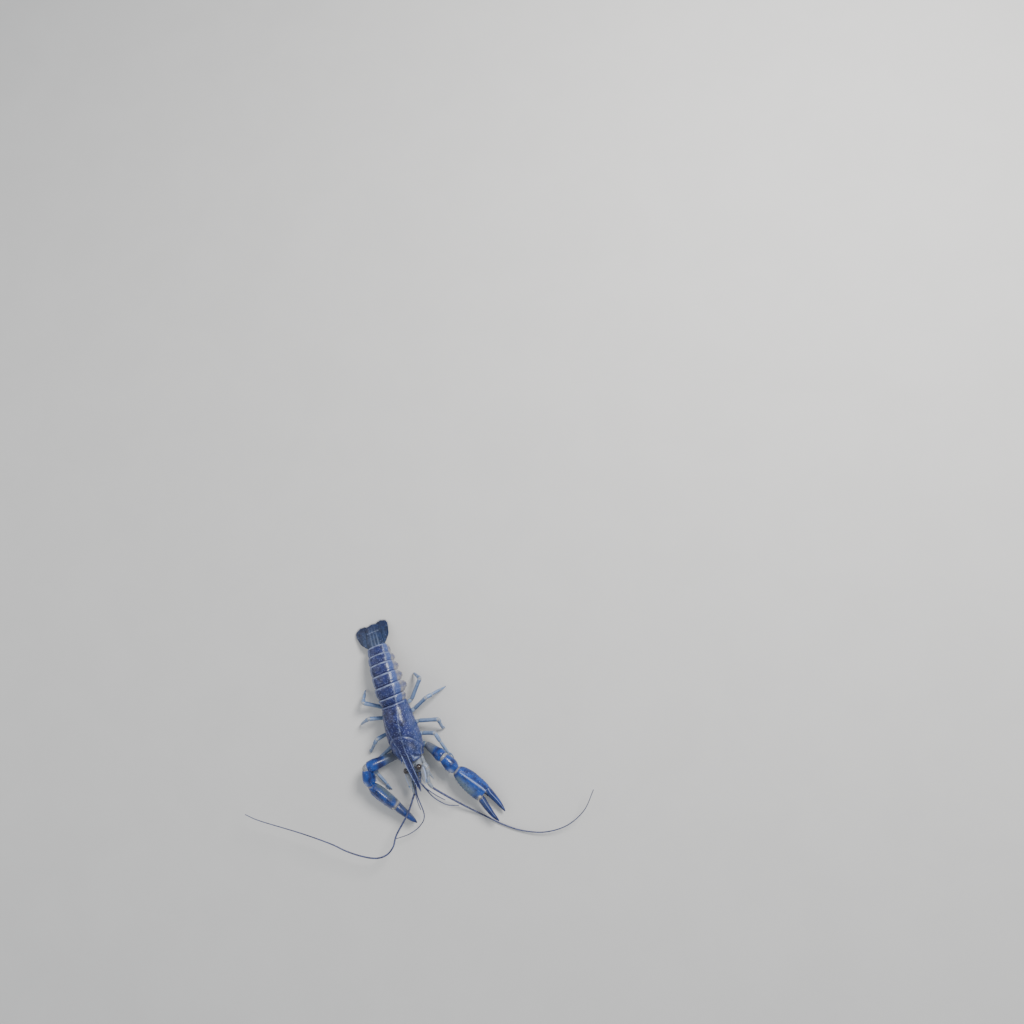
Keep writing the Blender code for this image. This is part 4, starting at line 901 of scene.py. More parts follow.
class CRAYFISH_OT_stage(bpy.types.Operator):
    """Lays the pale floor and sets the lamps and the camera"""

    bl_idname = "crayfish.stage"
    bl_label = "Stage"

    def execute(self, context):
        look = context.scene.crayfish_studio
        half = look.floor_size / 2
        mesh = bpy.data.meshes.new("floor")
        mesh.from_pydata([(-half, -half, 0), (half, -half, 0), (half, half, 0), (-half, half, 0)], [], [(0, 1, 2, 3)])
        mesh.materials.append(finish("pale_floor", floor_nodes, look.floor_colour))
        linked("floor", mesh)

        world = bpy.data.worlds.new("soft_sky")
        world.use_nodes = True
        backdrop = world.node_tree.nodes["Background"]
        backdrop.inputs["Color"].default_value = (0.86, 0.92, 1.0, 1.0)
        backdrop.inputs["Strength"].default_value = look.sky
        context.scene.world = world

        for name, place, size, power in (("key_lamp", (0.62, 0.42, 0.66), 0.34, look.key_power),
                                         ("fill_lamp", (-0.62, 0.30, 0.60), 0.7, look.fill_power)):
            data = bpy.data.lights.new(name, "AREA")
            data.shape, data.size, data.energy = "DISK", size, power
            lamp = linked(name, data)
            lamp.location = place
            lamp.rotation_euler = (-Vector(place)).to_track_quat("-Z", "Y").to_euler()

        data = bpy.data.cameras.new("camera")
        data.sensor_width, data.lens = 36.0, look.lens
        data.clip_start, data.clip_end = 0.01, 20.0
        camera = context.scene.camera = linked("camera", data)
        camera.location, camera.rotation_euler = look.camera_place, look.camera_turn
        return {"FINISHED"}


# Carapace

def carapace_outline(y, lip=0.0, thin=0.0):
    """The carapace's outline at one station with its grooves and swellings. lip moves the outline back and
    thin takes it in, for the margin at the rear."""
    width, top = eased(y, HALF_WIDTH) - thin, eased(y, TOP_Z) - thin
    middle, edge = eased(y, MIDDLE_Z), eased(y, EDGE_Z)
    forward = GROOVE_SWEEP * eased(y, SWEEP_SHARE)
    areola = sizes().areola / MM
    crest = lerp(4.9, 4.0, smooth((-8.0 - y) / 8.0))
    ring = []
    for s, c in arch(ARCH_POINTS):
        off = abs(s) * width
        swell = -GROOVE_DEPTH * bell(y, 0.75) * (0.55 + 0.45 * abs(s))
        swell += 0.22 * bell(y - 2.4, 1.6) + 0.18 * bell(y + 2.6, 1.8)
        swell -= 0.20 * smooth((y - 1.5) / 2.5) * smooth((19.4 - y) / 1.5) * bell(off - areola, 0.32)
        swell += 0.26 * bell(y - 20.1, 0.42) - 0.24 * bell(y - 19.15, 0.4)
        swell += 0.5 * smooth((-7.5 - y) / 2.0) * smooth((y + 17.2) / 1.6) * bell(off - crest, 0.45)
        swell += 0.35 * bell(y + 6.5, 3.2) * bell(abs(s) - 0.78, 0.16)
        height = middle + (top + swell - middle) * c ** 0.86
        ring.append(Vector((squared(s, 0.92) * (width + swell), y + lip - forward * (1.0 - c), height)))
    low_y, inner_y = y + lip - forward * 1.04, y + lip - forward * 0.8
    side = through([(width * 0.998, y + lip - forward, middle), (width * 0.985, low_y, lerp(middle, edge, 0.55)),
                    (width * 0.90, low_y, edge), (width * 0.90 - 1.2, low_y, edge + 0.1),
                    (width * 0.62, inner_y, BELLY_RECESS_Z), (0, inner_y, BELLY_RECESS_Z)], 17)[1:]
    return ring + side + mirrored(side)


def carapace_paint(stations):
    around = ARCH_POINTS + 1

    def paint(i, j, point):
        y = stations[i]
        if j >= around:
            return {"cream": 0.45 * bell(j - around - 9, 2.0), "pale": 0.45, "dark": 0.15}
        side = abs(j / ARCH_POINTS - 0.5) * 2.0
        off = math.sin(side * math.pi / 2) * eased(y, HALF_WIDTH)
        groove = bell(y, 0.40) * (0.10 + 0.42 * bell(side - 0.55, 0.22))
        rear = 0.35 * bell(y - 20.3, 0.28)
        # Painted highlight: a thin pale streak along each shoulder of the back, where the wet shell would catch the
        # light.
        shoulder = flowing(y, ((-19.0, 2.6), (-12.5, 1.7), (0.0, 3.2), (20.0, 6.2)))
        highlight_streak = 0.45 * bell(off - shoulder, 0.22) * smooth((y + 18.5) / 2.0) * (1.0 - 0.5 * bell(y, 1.2))
        rim = bell(side - 1.0, 0.02) * 0.45 * smooth((1.0 - y) / 5.0)
        return {
            "cream": rim + 0.2 * bell(off - 6.5, 1.6) * bell(y + 6.5, 2.5),
            # The last two terms are painted highlights, wet glints on the bumps beside the eyes.
            "line": max(groove, rear, highlight_streak, 0.95 * bell(y + 17.0, 0.9) * bell(off - 5.3, 1.1),
                        0.95 * bell(y + 15.4, 1.1) * bell(off - 4.2, 0.8)),
            "pale": min(1.0, 0.45 * smooth((side - 0.50) / 0.4) + 0.40 * bell(off - 5.5, 2.0) * bell(y + 8.0, 6.0)),
            "granules": 0.55 * smooth((side - 0.42) / 0.25) * (1.0 - bell(y, 1.0)) * smooth((19.0 - y) / 1.5),
            "dark": 0.42 * bell(off, 2.2) * smooth((y + 19.0) / 10.0),
        }
    return paint


def rostrum_outline(y):
    """The section of the rostrum at y, with its half width and the height of its top."""
    share = (y - ROSTRUM_ROOT) / (ROSTRUM_TIP - ROSTRUM_ROOT)
    width = flowing(share, ((0.0, ROSTRUM_HALF_WIDTH), (0.6, ROSTRUM_HALF_WIDTH * 0.82), (0.88, 1.0), (1.0, 0.3)))
    top = flowing(share, ((0.0, 20.0), (0.24, 19.0), (0.62, 16.6), (0.86, 15.3), (1.0, 15.0)))
    thick = flowing(share, ((0.0, 2.4), (0.6, 1.5), (1.0, 0.5)))
    rim = 0.62 * min(1.0, width / 1.6)
    upper = [Vector((x, 0, z)) for x, z in (
        (-width, -0.25 * thick), (-width * 0.97, rim * 0.7), (-width * 0.86, rim), (-width * 0.70, rim * 0.45),
        (-width * 0.46, 0.04), (-width * 0.2, -0.05), (0, 0.10 * smooth(width)))]
    lower = [Vector((x, 0, z)) for x, z in ((width * 0.72, -thick * 0.8), (0, -thick), (-width * 0.72, -thick * 0.8))]
    closed = upper + mirrored(upper) + lower + upper[:1]
    ring = [p for a, b in zip(closed, closed[1:]) for p in (a, a.lerp(b, 0.5))]
    return [Vector((p.x, y, top + p.z)) for p in ring], width, top


class CRAYFISH_OT_carapace(bpy.types.Operator):
    """Makes the carapace with its grooves, the rostrum, its spines and the granules on the flanks"""

    bl_idname = "crayfish.carapace"
    bl_label = "Carapace"

    def execute(self, context):
        shells, stand = Shells(), trunk()
        lip = sizes().plate_lip / MM
        margin = ((-1.0, 0.95), (0.1, 0.75), (lip * 0.8, 0.45), (lip, 0.22), (lip * 0.7, 0.05))
        stations = [lerp(CARAPACE_BACK, CARAPACE_FRONT, t / 118) for t in range(119)]
        rings = [carapace_outline(CARAPACE_BACK, back, thin) for back, thin in margin]
        rings += [carapace_outline(y) for y in stations]
        shells.add(stood(rings), carapace_paint([CARAPACE_BACK] * len(margin) + stations))

        def rostrum_paint(i, j, point):
            side = abs(j - 12) / 12.0 if j <= 24 else 1.0
            return {"line": 0.85 * bell(side - 0.67, 0.11), "pale": 0.10, "dark": 0.40 * bell(side, 0.5),
                    "cream": 0.25 * smooth((i - 42) / 6), "hairs": 0.35 * bell(side - 0.45, 0.12)}
        shells.add(stood(rostrum_outline(lerp(ROSTRUM_ROOT, ROSTRUM_TIP, t / 48))[0] for t in range(49)), rostrum_paint)
        for y in ROSTRUM_SPINES:
            _, width, top = rostrum_outline(y)
            for side in (-1, 1):
                root = Vector((side * (width - 0.5), y + 0.3, top + 0.15))
                shells.spine(stand @ root, stand @ (root + Vector((side * 1.0, -1.7, 0.55))), 0.42)
        for side in (-1, 1):
            shells.spine(stand @ Vector((side * 4.1, -14.0, 18.5)), stand @ Vector((side * 4.6, -18.5, 19.2)), 0.62, 10)
            for y, share in ((-4.0, 0.70), (-5.6, 0.78), (-7.4, 0.74)):
                spot = carapace_outline(y)[round(ARCH_POINTS * (0.5 + side * share / 2))]
                outer = Vector((spot.x, 0, spot.z - 13.0)).normalized()
                shells.spine(stand @ (spot - outer * 0.2), stand @ (spot + outer * 0.55 + Vector((0, -0.6, 0))), 0.34)
        finished(shells, "carapace_shell", "shell", ["carapace"], granules=(11, 1.0, 1.0))
        return {"FINISHED"}


# Abdomen

def tail_frame(distance):
    """The frame of the tail at a distance behind the carapace: Y runs back along the tail and Z is its top."""
    total = sum(RING_LENGTHS)
    place = trunk() @ Vector((0, ABDOMEN_START, TRUNK_AXIS_Z))
    walked = 0.0
    while True:
        turn = TRUNK_TURN + TAIL_TURN * smooth(walked / TAIL_TURN_BY)
        drop = TAIL_DROP * smooth((walked - TAIL_DROP_FROM) / (total - TAIL_DROP_FROM))
        rotation = Matrix.Rotation(turn, 4, "Z") @ Matrix.Rotation(-drop, 4, "X")
        if walked >= distance - 1e-9:
            break
        stride = min(0.25, distance - walked)
        place = place + facing(rotation, 0, stride, 0)
        walked += stride
    lean = TRUNK_LEAN * (1.0 - smooth(distance / total))
    return Matrix.Translation(place) @ rotation @ Matrix.Rotation(lean, 4, "Y")


def tergite_outline(distance, swell, lobe, thin=0.0, crease=0.0):
    """One ring of a back plate: the arched back, the hanging side lobes and the soft belly."""
    width = eased(distance, ABDOMEN_WIDTH) * swell - thin
    height = eased(distance, ABDOMEN_HEIGHT) * swell - thin
    ring = []
    for s, c in arch(TERGITE_POINTS):
        low = crease * (1.0 - smooth((abs(s) - 0.80) / 0.15))
        ring.append(Vector((squared(s, 0.9) * (width - low), 0, -0.6 + (height + 0.6 - low) * c ** 0.86)))
    hang, out = -1.6 - lobe, width + 0.10 * lobe
    side = through([(width, 0, -0.6), (width + 0.10 * lobe * 0.7, 0, lerp(-0.6, hang, 0.6)), (out, 0, hang + 0.15),
                    (out - 0.45, 0, hang - 0.1), (out - 0.9, 0, hang + 0.2), (width * 0.80, 0, -1.7),
                    (0, 0, -2.3)], TERGITE_SIDE_POINTS + 1)[1:]
    place = tail_frame(distance)
    return [place @ p for p in ring + side + mirrored(side)]


def tergite_paint(shares):
    around = TERGITE_POINTS + 1
    last = around + 2 * TERGITE_SIDE_POINTS - 2

    def paint(i, j, point):
        t = shares[i]
        # The pale rear margin of each ring; its brighter part a quarter of the way out from the middle is a painted
        # highlight.
        margin = 0.85 * bell(t - 0.985, 0.045)
        if j >= around:
            down = min(j - around, last - j)
            if down > 9:
                return {"cream": 0.35, "pale": 0.9}
            edge = smooth(down / 7.0)
            return {"cream": lerp(0.45, 0.75, edge) * (1.0 - 0.6 * bell(t - 0.6, 0.2)), "pale": 0.5,
                    "line": margin * 0.3, "hairs": 0.6 * edge}
        share = abs(j / TERGITE_POINTS - 0.5) * 2.0
        flank = 0.85 * smooth((share - 0.45) / 0.12) * (1.0 - 0.5 * smooth((share - 0.8) / 0.15))
        return {
            "cream": 0.62 * smooth((share - 0.78) / 0.16) * (1.0 - 0.6 * bell(t - 0.60, 0.18)),
            # The thin line 0.46 of the way out is a painted highlight, the sheen along the curve of the back.
            "line": max(margin * (0.20 + 0.6 * bell(share - 0.25, 0.25)), 0.45 * bell(share - 0.46, 0.035)),
            "pale": flank + 0.1 * bell(t - 0.5, 0.3),
            "dark": 0.45 * (1.0 - smooth((t - 0.05) / 0.22)) + 0.22 * bell(share, 0.4),
            "granules": 0.10 * smooth((share - 0.5) / 0.3),
        }
    return paint


def swimmeret(shells, place, side, length):
    """A two-bladed swimmeret under one side of a ring."""
    root = Vector((side * 4.6, 0.0, -1.2))
    knee = root + Vector((side * 0.5, 0.6, -2.0))

    def paint(i, j, point):
        return {"pale": 0.7, "cream": 0.2, "hairs": 0.7 if i > 2 else 0.0}
    widths = ((0.0, 0.45), (0.35, 0.85), (0.75, 0.8), (1.0, 0.25))
    for splay in (-0.45, 0.5):
        tip = knee + Vector((side * splay * 1.8, length, -1.5))
        outward = facing(place, side * splay * 0.9, 0, 0)
        stations = [(place @ knee.lerp(tip, t / 12) + outward, flowing(t / 12, widths), 0.30) for t in range(13)]
        shells.add(sweep(stations, 12), paint)
    stem = ((root + UP, 0.7, 0.7), (root, 0.75, 0.7), (knee, 0.62, 0.62), (knee + Vector((0, 0.6, -0.2)), 0.8, 0.6),
            (knee + Vector((0, 1.1, -0.35)), 0.95, 0.5))
    shells.add(sweep([(place @ point, wide, high) for point, wide, high in stem], 12), paint)


class CRAYFISH_OT_abdomen(bpy.types.Operator):
    """Makes the six overlapping rings of the abdomen with their side lobes and swimmerets"""

    bl_idname = "crayfish.abdomen"
    bl_label = "Abdomen"

    def execute(self, context):
        lip = sizes().plate_lip / MM
        start = 0.0
        for number, (length, lobe) in enumerate(zip(RING_LENGTHS, LOBE_LENGTHS), 1):
            shells = Shells()
            first, last = start + (GAP / 2 if number > 1 else 0.0), start + length - GAP / 2
            shares = [t / 30 for t in range(31)]
            rings = []
            for t in shares:
                crease = 0.16 * bell(t - 0.27, 0.05) + 0.10 * bell(t - 0.90, 0.03)
                rings.append(tergite_outline(lerp(first, last, t), eased(t, RING_SWELL), lobe * eased(t, RING_LOBE),
                                             crease=crease))
            for reach, thin in ((lip * 0.7, 0.04), (lip, 0.14), (lip * 0.85, 0.30), (0.0, 0.5), (-0.8, 0.7)):
                rings.append(tergite_outline(last + reach, 1.0, lobe * RING_LOBE[-1][1], thin=thin))
                shares.append(1.0)
            shells.add(rings, tergite_paint(shares))
            if 2 <= number <= 5:
                place = tail_frame(start + length * 0.45)
                for side in (-1, 1):
                    swimmeret(shells, place, side, length * 0.62)
            finished(shells, f"abdomen_plate_{number}", "shell", [f"abdomen_{number}"],
                     (20 + number, 0.8, 0.75), (30 + number, (0.0, 0.6, -0.6), 5.0e5, 0.7), 75.0)
            start += length
        return {"FINISHED"}


# Tail fan

def blade_across(j):
    """How far to the side point j of a blade's section lies, from -1 to 1 over the top and back below."""
    return -math.cos(math.pi * j / BLADE_TOP) if j <= BLADE_TOP else math.cos(math.pi * (j - BLADE_TOP) / BLADE_UNDER)


def blade_end(t):
    """The rounding of a blade's far end."""
    return math.sqrt(max(0.0, 1.0 - smooth((t - 0.90) / 0.1) ** 2 * 0.96))


def blade_outline(place, length, widths, thick, t, ribs, rib_height=0.12, lift=0.0):
    """One section across a blade, a thin lens with raised ribs."""
    half_width = flowing(t, widths) * blade_end(t)
    half_thick = lerp(*thick, t) / 2 * (0.35 + 0.65 * blade_end(t))
    root = smooth(t / 0.06) * 0.4 + 0.6
    ring = []
    for j in range(BLADE_TOP + BLADE_UNDER):
        x = blade_across(j)
        z = half_thick * (1.0 - abs(x) ** 3.0)
        if j > BLADE_TOP:
            z = -z
        else:
            raised = sum(rib_height * bell(x - rib, 0.07) for rib in ribs)
            z = z * root + raised * smooth((0.98 - t) / 0.15) * smooth((1 - abs(x)) / 0.1)
        ring.append(place @ Vector((x * half_width, length * t, z + lift)))
    return ring


def blade_rim(place, length, widths, curl, since=0.45):
    """The rim of a blade from one side round its end to the other, with outward directions, for a fringe."""
    path = []
    for i in range(27):
        t = lerp(since, 1.0, i / 26)
        path.append(Vector((flowing(t, widths) * blade_end(t) * 0.985, length * t * 0.999, 0)))
    path += [Vector((-p.x, p.y, 0)) for p in reversed(path)]
    rim = []
    for i, point in enumerate(path):
        run = (path[min(len(path) - 1, i + 1)] - path[max(0, i - 1)]).normalized()
        out = Vector((run.y, -run.x, 0))
        out = out if out.y > 0 or out.x * point.x > 0 else -out
        way = place.to_3x3() @ (out * 0.8 + Vector((0, 0.9, -0.03))).normalized()
        share = point.y / length
        rim.append((place @ (point + UP * (curl * share ** 2)), way, 0.25 + 0.75 * smooth((share - since) / 0.3)))
    return rim


def clear_of_floor(point, way, length):
    """The way of a bristle, turned up where it would reach the floor."""
    return Vector((way.x, way.y, max(way.z, (0.35 - point.z) / length))).normalized()


class CRAYFISH_OT_tail_fan(bpy.types.Operator):
    """Makes the telson, the four blades beside it and the fringe along their rims"""

    bl_idname = "crayfish.tail_fan"
    bl_label = "Tail fan"

    def execute(self, context):
        root = tail_frame(sum(RING_LENGTHS))
        fringe_length = sizes().fringe / MM
        steps = [1.0 - (1.0 - i / 60) ** 1.7 for i in range(61)]
        rims = []
        # place, length, half widths, thickness at both ends, ribs, curl and seam of each blade
        blades = {"telson": (root @ Matrix.Translation((0, GAP / 2, 1.7)), TELSON_LENGTH, TELSON_WIDTHS, (1.5, 0.8),
                             (-0.42, 0.0, 0.42), 0.0, BLADE_SEAM)}
        for word, side in SIDES:
            for kind, along, up, *form in (
                    ("inner", 1.2, 0.22, ENDOPOD_LENGTH, BLADE_WIDTHS, (0.8, 0.6), (0.0,), 0.3, None),
                    ("outer", 3.5, -1.05, EXOPOD_LENGTH, BLADE_WIDTHS, (0.8, 0.7), (-0.12, 0.12), 0.4, BLADE_SEAM)):
                out, turn = FAN[word][kind]
                place = root @ Matrix.Translation((side * out, along, up))
                blades[f"uropod_{kind}_{word}"] = (place @ Matrix.Rotation(side * math.radians(-turn), 4, "Z"), *form)
        for name, (place, full, widths, thick, ribs, curl, seam) in blades.items():
            length = full - fringe_length * 0.8

            def paint(i, j, point):
                t, x = steps[i], blade_across(j)
                rib = max(bell(x - r, 0.08) for r in ribs)
                return {"line": max(0.30 * rib * (1 - t), 0.45 * bell(t - seam, 0.012) if seam else 0.0),
                        "pale": 0.5 * bell(abs(x) - 0.35, 0.3) * (1 - t), "dark": 0.30 * smooth((t - 0.45) / 0.5),
                        "granules": 0.06, "cream": 0.25 * smooth((0.06 - t) / 0.06),
                        "hairs": 0.25 * smooth((t - 0.3) / 0.5) if 0 < j < BLADE_TOP else 0.0}
            shells = Shells()
            shells.add([blade_outline(place, length, widths, thick, t, ribs, lift=curl * t * t) for t in steps], paint)
            if name == "telson":
                for side in (-1, 1):
                    base = root @ Vector((side * 4.6, TELSON_LENGTH * 0.62, 1.75))
                    shells.spine(base, base + facing(root, side * 0.9, 1.9, 0.05), 0.36)
            elif name.startswith("uropod_inner"):
                self.stem(shells, root, name.split("_")[2])
            finished(shells, name + "_blade", "tail", [name], hairs=(41, (0.0, 2.0, 0.4), 9.0e5, 0.35), crease=70.0)
            rims.append([(p, clear_of_floor(p, way, fringe_length), reach)
                         for p, way, reach in blade_rim(place, length, widths, curl)])
        fringe("tail_fringe", rims, "tail", sizes().fringe)
        return {"FINISHED"}

    def stem(self, shells, root, word):
        """The short stem that carries both blades of one side."""
        side, out, back = dict(SIDES)[word], FAN[word]["inner"][0], facing(root, 0, 1, 0)
        stops = ((0.0, 1.2), (0.2, 1.5), (0.8, 1.45), (1.0, 0.9))
        stations = [(root @ Vector((side * out, lerp(GAP / 2, 3.0, t / 8), -0.45)), flowing(t / 8, stops), 1.0)
                    for t in range(9)]
        shells.add(sweep(stations, 18, start=back, end=back), even(cream=0.25, pale=0.2))
        for shift in (-0.9, 0.3, 1.2):
            base = root @ Vector((side * (out + shift), 2.7, 0.25))
            shells.spine(base, base + back * 1.1, 0.22)


# Head and eyes

class CRAYFISH_OT_head(bpy.types.Operator):
    """Makes the front of the head, the eyestalks, the eyes and the plate between the limbs"""

    bl_idname = "crayfish.head"
    bl_label = "Head and eyes"

    def execute(self, context):
        self.front()
        self.sternum()
        for word, side in SIDES:
            self.eye(word, side)
        return {"FINISHED"}

    def front(self):
        shells, rings, back = Shells(), [], CARAPACE_FRONT - GAP
        table = ((-back, 4.6, 8.8, 13.2), (21.5, 4.6, 8.0, 13.2), (24.8, 4.4, 8.4, 13.0), (-HEAD_FRONT, 3.4, 9.6, 12.8))
        for step in range(25):
            y = lerp(back, HEAD_FRONT, step / 24)
            width, low, top = section(table, -y)
            centre = Vector((0, y, (low + top) / 2))
            angles = [2 * math.pi * i / 32 for i in range(32)]
            rings.append([centre + Vector((squared(math.cos(a), 0.6) * width, 0,
                                           squared(math.sin(a), 0.6) * ((top - low) / 2))) for a in angles])
        shells.add(stood(rings), lambda i, j, p: {"pale": 0.5, "cream": 0.25 * bell(i - 12, 3), "hairs": 0.3})
        for side in (-1, 1):
            base = trunk() @ Vector((side * 2.2, HEAD_FRONT + 0.9, 9.6))
            shells.ball(base, Vector((0, 1, 0)), 1.0, 1.2, paint=even(cream=0.5, pale=0.5))
        finished(shells, "head_front", "under", ["head"], hairs=(51, (0.0, -1.2, -0.4), 3.0e5, 0.8))

    def sternum(self):
        shells, rings, w = Shells(), [], STERNUM_HALF_WIDTH
        for step in range(65):
            y = lerp(STERNUM_FRONT, STERNUM_BACK, step / 64)
            end = min(1.0, min(y - STERNUM_FRONT, STERNUM_BACK - y) / 2.0)
            low = lerp(STERNUM_TOP, STERNUM_BOTTOM, lerp(0.9, 1.0, smooth(end)))
            swell = 0.35 * max(bell(y - spot, 1.3) for spot in (-8.0, -0.6, 7.2, 14.0))
            side = through([(w, y, STERNUM_TOP), (w, y, low + 1.1 + swell), (w * 0.85, y, low + 0.4 + swell),
                            (w * 0.5, y, low + swell * 0.6), (w * 0.18, y, low + 0.25), (0, y, low)], 13)
            rings.append(side + mirrored(side))
        shells.add(stood(rings), even(cream=0.4, pale=0.6, hairs=0.2))
        finished(shells, "sternum_plate", "under", ["sternum"], hairs=(53, (0.0, -0.5, -0.8), 2.0e5, 0.7))

    def eye(self, word, side):
        stand = trunk()
        foot, neck = Vector((side * 2.4, -22.4, 13.5)), Vector((side * 3.2, -22.9, 15.1))
        look = Vector((side * 0.80, -0.42, 0.42)).normalized()
        crown = neck + look * 1.0
        shells = Shells()
        path = through([stand @ p for p in (foot, foot.lerp(neck, 0.6), neck, crown)], 14)
        stalk = rounded(path, ((0.0, 1.0), (0.5, 0.92), (0.75, 1.1), (1.0, 1.3)))
        shells.add(sweep(stalk, 20, up=Vector((0, 1, 0))), lambda i, j, p: {"pale": 0.5, "cream": 0.3 * bell(i - 5, 1)})
        finished(shells, f"eyestalk_shell_{word}", "under", [f"eyestalk_{word}"])

        shells, rings = Shells(), []
        gaze, centre = stand.to_3x3() @ look, stand @ (crown + look * (GAP + 0.95))
        for i in range(25):
            angle = math.radians(lerp(118.0, 3.0, i / 24))
            wide = math.sin(angle) * EYE_RADIUS
            rings.append(oval(centre + gaze * math.cos(angle) * EYE_RADIUS, gaze, UP, wide, wide, 32))
        shells.add(rings, lambda i, j, p: {"pale": 0.8 * (1.0 - smooth((i - 1) / 3.0))})
        handed_over(shells.made(f"eye_globe_{word}"), "eye", [f"eye_{word}"], finish("compound_eye", eye_nodes))


# Limb segments

def bead(shells, a, b, thick, stops, tone, cream=0.10, sides=22, count=22, flat=1.0, bow=Vector()):
    """One closed limb segment from joint a to joint b. Its thickness at both ends is scaled by stops along it. It is
    cream at both ends, and tone gives the other masks along it."""
    stations = []
    for i in range(count):
        t = i / (count - 1)
        half = lerp(*thick, t) * flowing(t, stops) * domed(min(t, 1.0 - t) / 0.06 + 0.35)
        stations.append((a.lerp(b, t) + bow * math.sin(math.pi * t), half * flat, half))

    def paint(i, j, point):
        t = i / (count - 1)
        return {"cream": 0.95 * (1.0 - smooth(min(t, 1.0 - t) / cream)), **tone(t, j, point)}
    shells.add(sweep(stations, sides), paint)


def knuckle(shells, at, radius):
    """The soft, wrinkled skin of a joint."""
    shells.ball(at, UP, radius, 1.0, 16, 9,
                lambda i, j, p: {"cream": 0.5, "pale": 0.7, "dark": 0.3 * bell(j % 4 - 1, 0.8)})


def jointed(shells, joints, thick, knuckles, *form):
    """Segments from joint to joint, each with its thickness at both ends, and the knuckles after the first joint."""
    for a, b, ends in zip(joints, joints[1:], thick):
        bead(shells, a, b, ends, *form)
    for at, radius in zip(joints[1:], knuckles):
        knuckle(shells, at, radius)


def limb_root(shells, root, middle, hip, thick, end):
    """The two short pale segments between the sternum and a limb."""
    for a, b, ends, near, far, cream in ((root, middle, thick[:2], 0.95, end, 0.12),
                                         (middle, hip, thick[2:], 0.90, 0.95, 0.16)):
        bead(shells, a, b, ends, ((0.0, near), (0.5, 1.0), (1.0, far)), even(pale=0.9), cream)


LEG_STOPS = ((0.0, 0.80), (0.10, 0.95), (0.5, 0.90), (0.86, 1.0), (0.94, 1.05), (1.0, 0.86))
PALM_STOPS = ((0.0, 0.82), (0.45, 1.0), (0.85, 0.98), (1.0, 0.8))
NAIL_STOPS = ((0.0, 0.95), (0.2, 1.0), (0.6, 0.9), (1.0, 0.62))


def streaks(t, j, point):
    return {"pale": 0.55 * bell(j - 7, 4.0) + 0.2 * smooth((0.4 - t) / 0.4), "hairs": 0.25 * smooth((t - 0.4) / 0.4),
            "dark": 0.12 * bell(j - 1, 2.5)}


def nail(t, j, point):
    return {"hairs": 0.9 * bell(t - 0.3, 0.25), "dark": 0.75 * smooth((t - 0.72) / 0.2), "pale": 0.3}


class CRAYFISH_OT_walking_legs(bpy.types.Operator):
    """Makes the eight walking legs, each with its segments, soft joints and hairs"""

    bl_idname = "crayfish.walking_legs"
    bl_label = "Walking legs"

    def execute(self, context):
        stand = trunk()
        for number, (name, stance) in enumerate(LEGS.items()):
            side = 1 if name.endswith("left") else -1
            root = stand @ Vector((side * LIMB_ROOT_X, stance["root"], 6.3))
            hip = stand @ Vector((side * HIP_OUT, stance["hip"], HIP_Z))
            knee, foot = Vector(stance["knee"]), Vector((*stance["foot"], 0.12))
            wrist, ankle = (knee.lerp(foot, share) + Vector((0, 0, stance["arch"])) for share in (0.30, 0.74))
            middle = root.lerp(hip, 0.52)
            shells = Shells()
            limb_root(shells, root, middle, hip, (1.8, 1.85, 1.65, 1.35), 0.92)
            bead(shells, hip, knee, (1.62, 1.48), LEG_STOPS, streaks, 0.05, count=30, flat=0.94)
            bead(shells, knee, wrist, (1.42, 1.30), PALM_STOPS, streaks, 0.08)
            bead(shells, wrist, ankle, (1.27, 1.02), PALM_STOPS, streaks, 0.05, count=26, flat=0.92)
            level, over = across((foot - ankle).normalized(), UP)
            bead(shells, ankle, foot, (0.86, 0.44), NAIL_STOPS, nail, 0.06, bow=over * 0.35 + level * side * 0.12)
            if name.startswith(PINCER_LEGS):
                base = ankle - (ankle - wrist).normalized() * 0.8
                path = [base + level * side * 0.2, ankle.lerp(foot, 0.35) - level * side * 1.25,
                        ankle.lerp(foot, 0.86) - level * side * 1.0]
                finger = rounded(through(path, 16), ((0.0, 0.62), (0.4, 0.5), (1.0, 0.22)))
                shells.add(sweep(finger, 14), lambda i, j, p: nail(i / 15, j, p))
            for at, radius in ((middle, 1.5), (hip, 1.28), (knee, 1.12), (wrist, 1.02), (ankle, 0.76)):
                knuckle(shells, at, radius)
            comb = tuple((foot - wrist).normalized() * 1.4)
            finished(shells, name + "_shell", "leg", [f"{name}_upper", f"{name}_lower"],
                     hairs=(60 + number, comb, 7.0e5, 0.85))
        return {"FINISHED"}


# Claws

def hand_frame(word, side):
    """The frame of a claw: Y runs from the wrist to the tips, X points to the fixed finger and Z is its broad back."""
    claw = CLAWS[word]
    wrist, reach = Vector(claw["wrist"]), Vector(claw["reach"])
    axis = (reach - wrist).normalized()
    level = (UP.cross(axis) * side).normalized()
    over = (axis.cross(level) * side).normalized()
    edge = level * math.cos(claw["edge_down"]) - over * math.sin(claw["edge_down"])
    rotation = Matrix((edge, axis, axis.cross(edge) * side)).transposed().to_4x4()
    return Matrix.Translation(wrist) @ rotation @ Matrix.Scale(claw["size"], 4)


def back_ridge(y):
    """The angle in degrees of the sharp ridge on the back of the hand, which veers to the fixed finger."""
    return lerp(96.0, 80.0, smooth(y / PALM_LENGTH)) + 18.0 * smooth((y - PALM_LENGTH) / 4.0)


def off_angle(degrees, at):
    return (degrees - at + 180.0) % 360.0 - 180.0


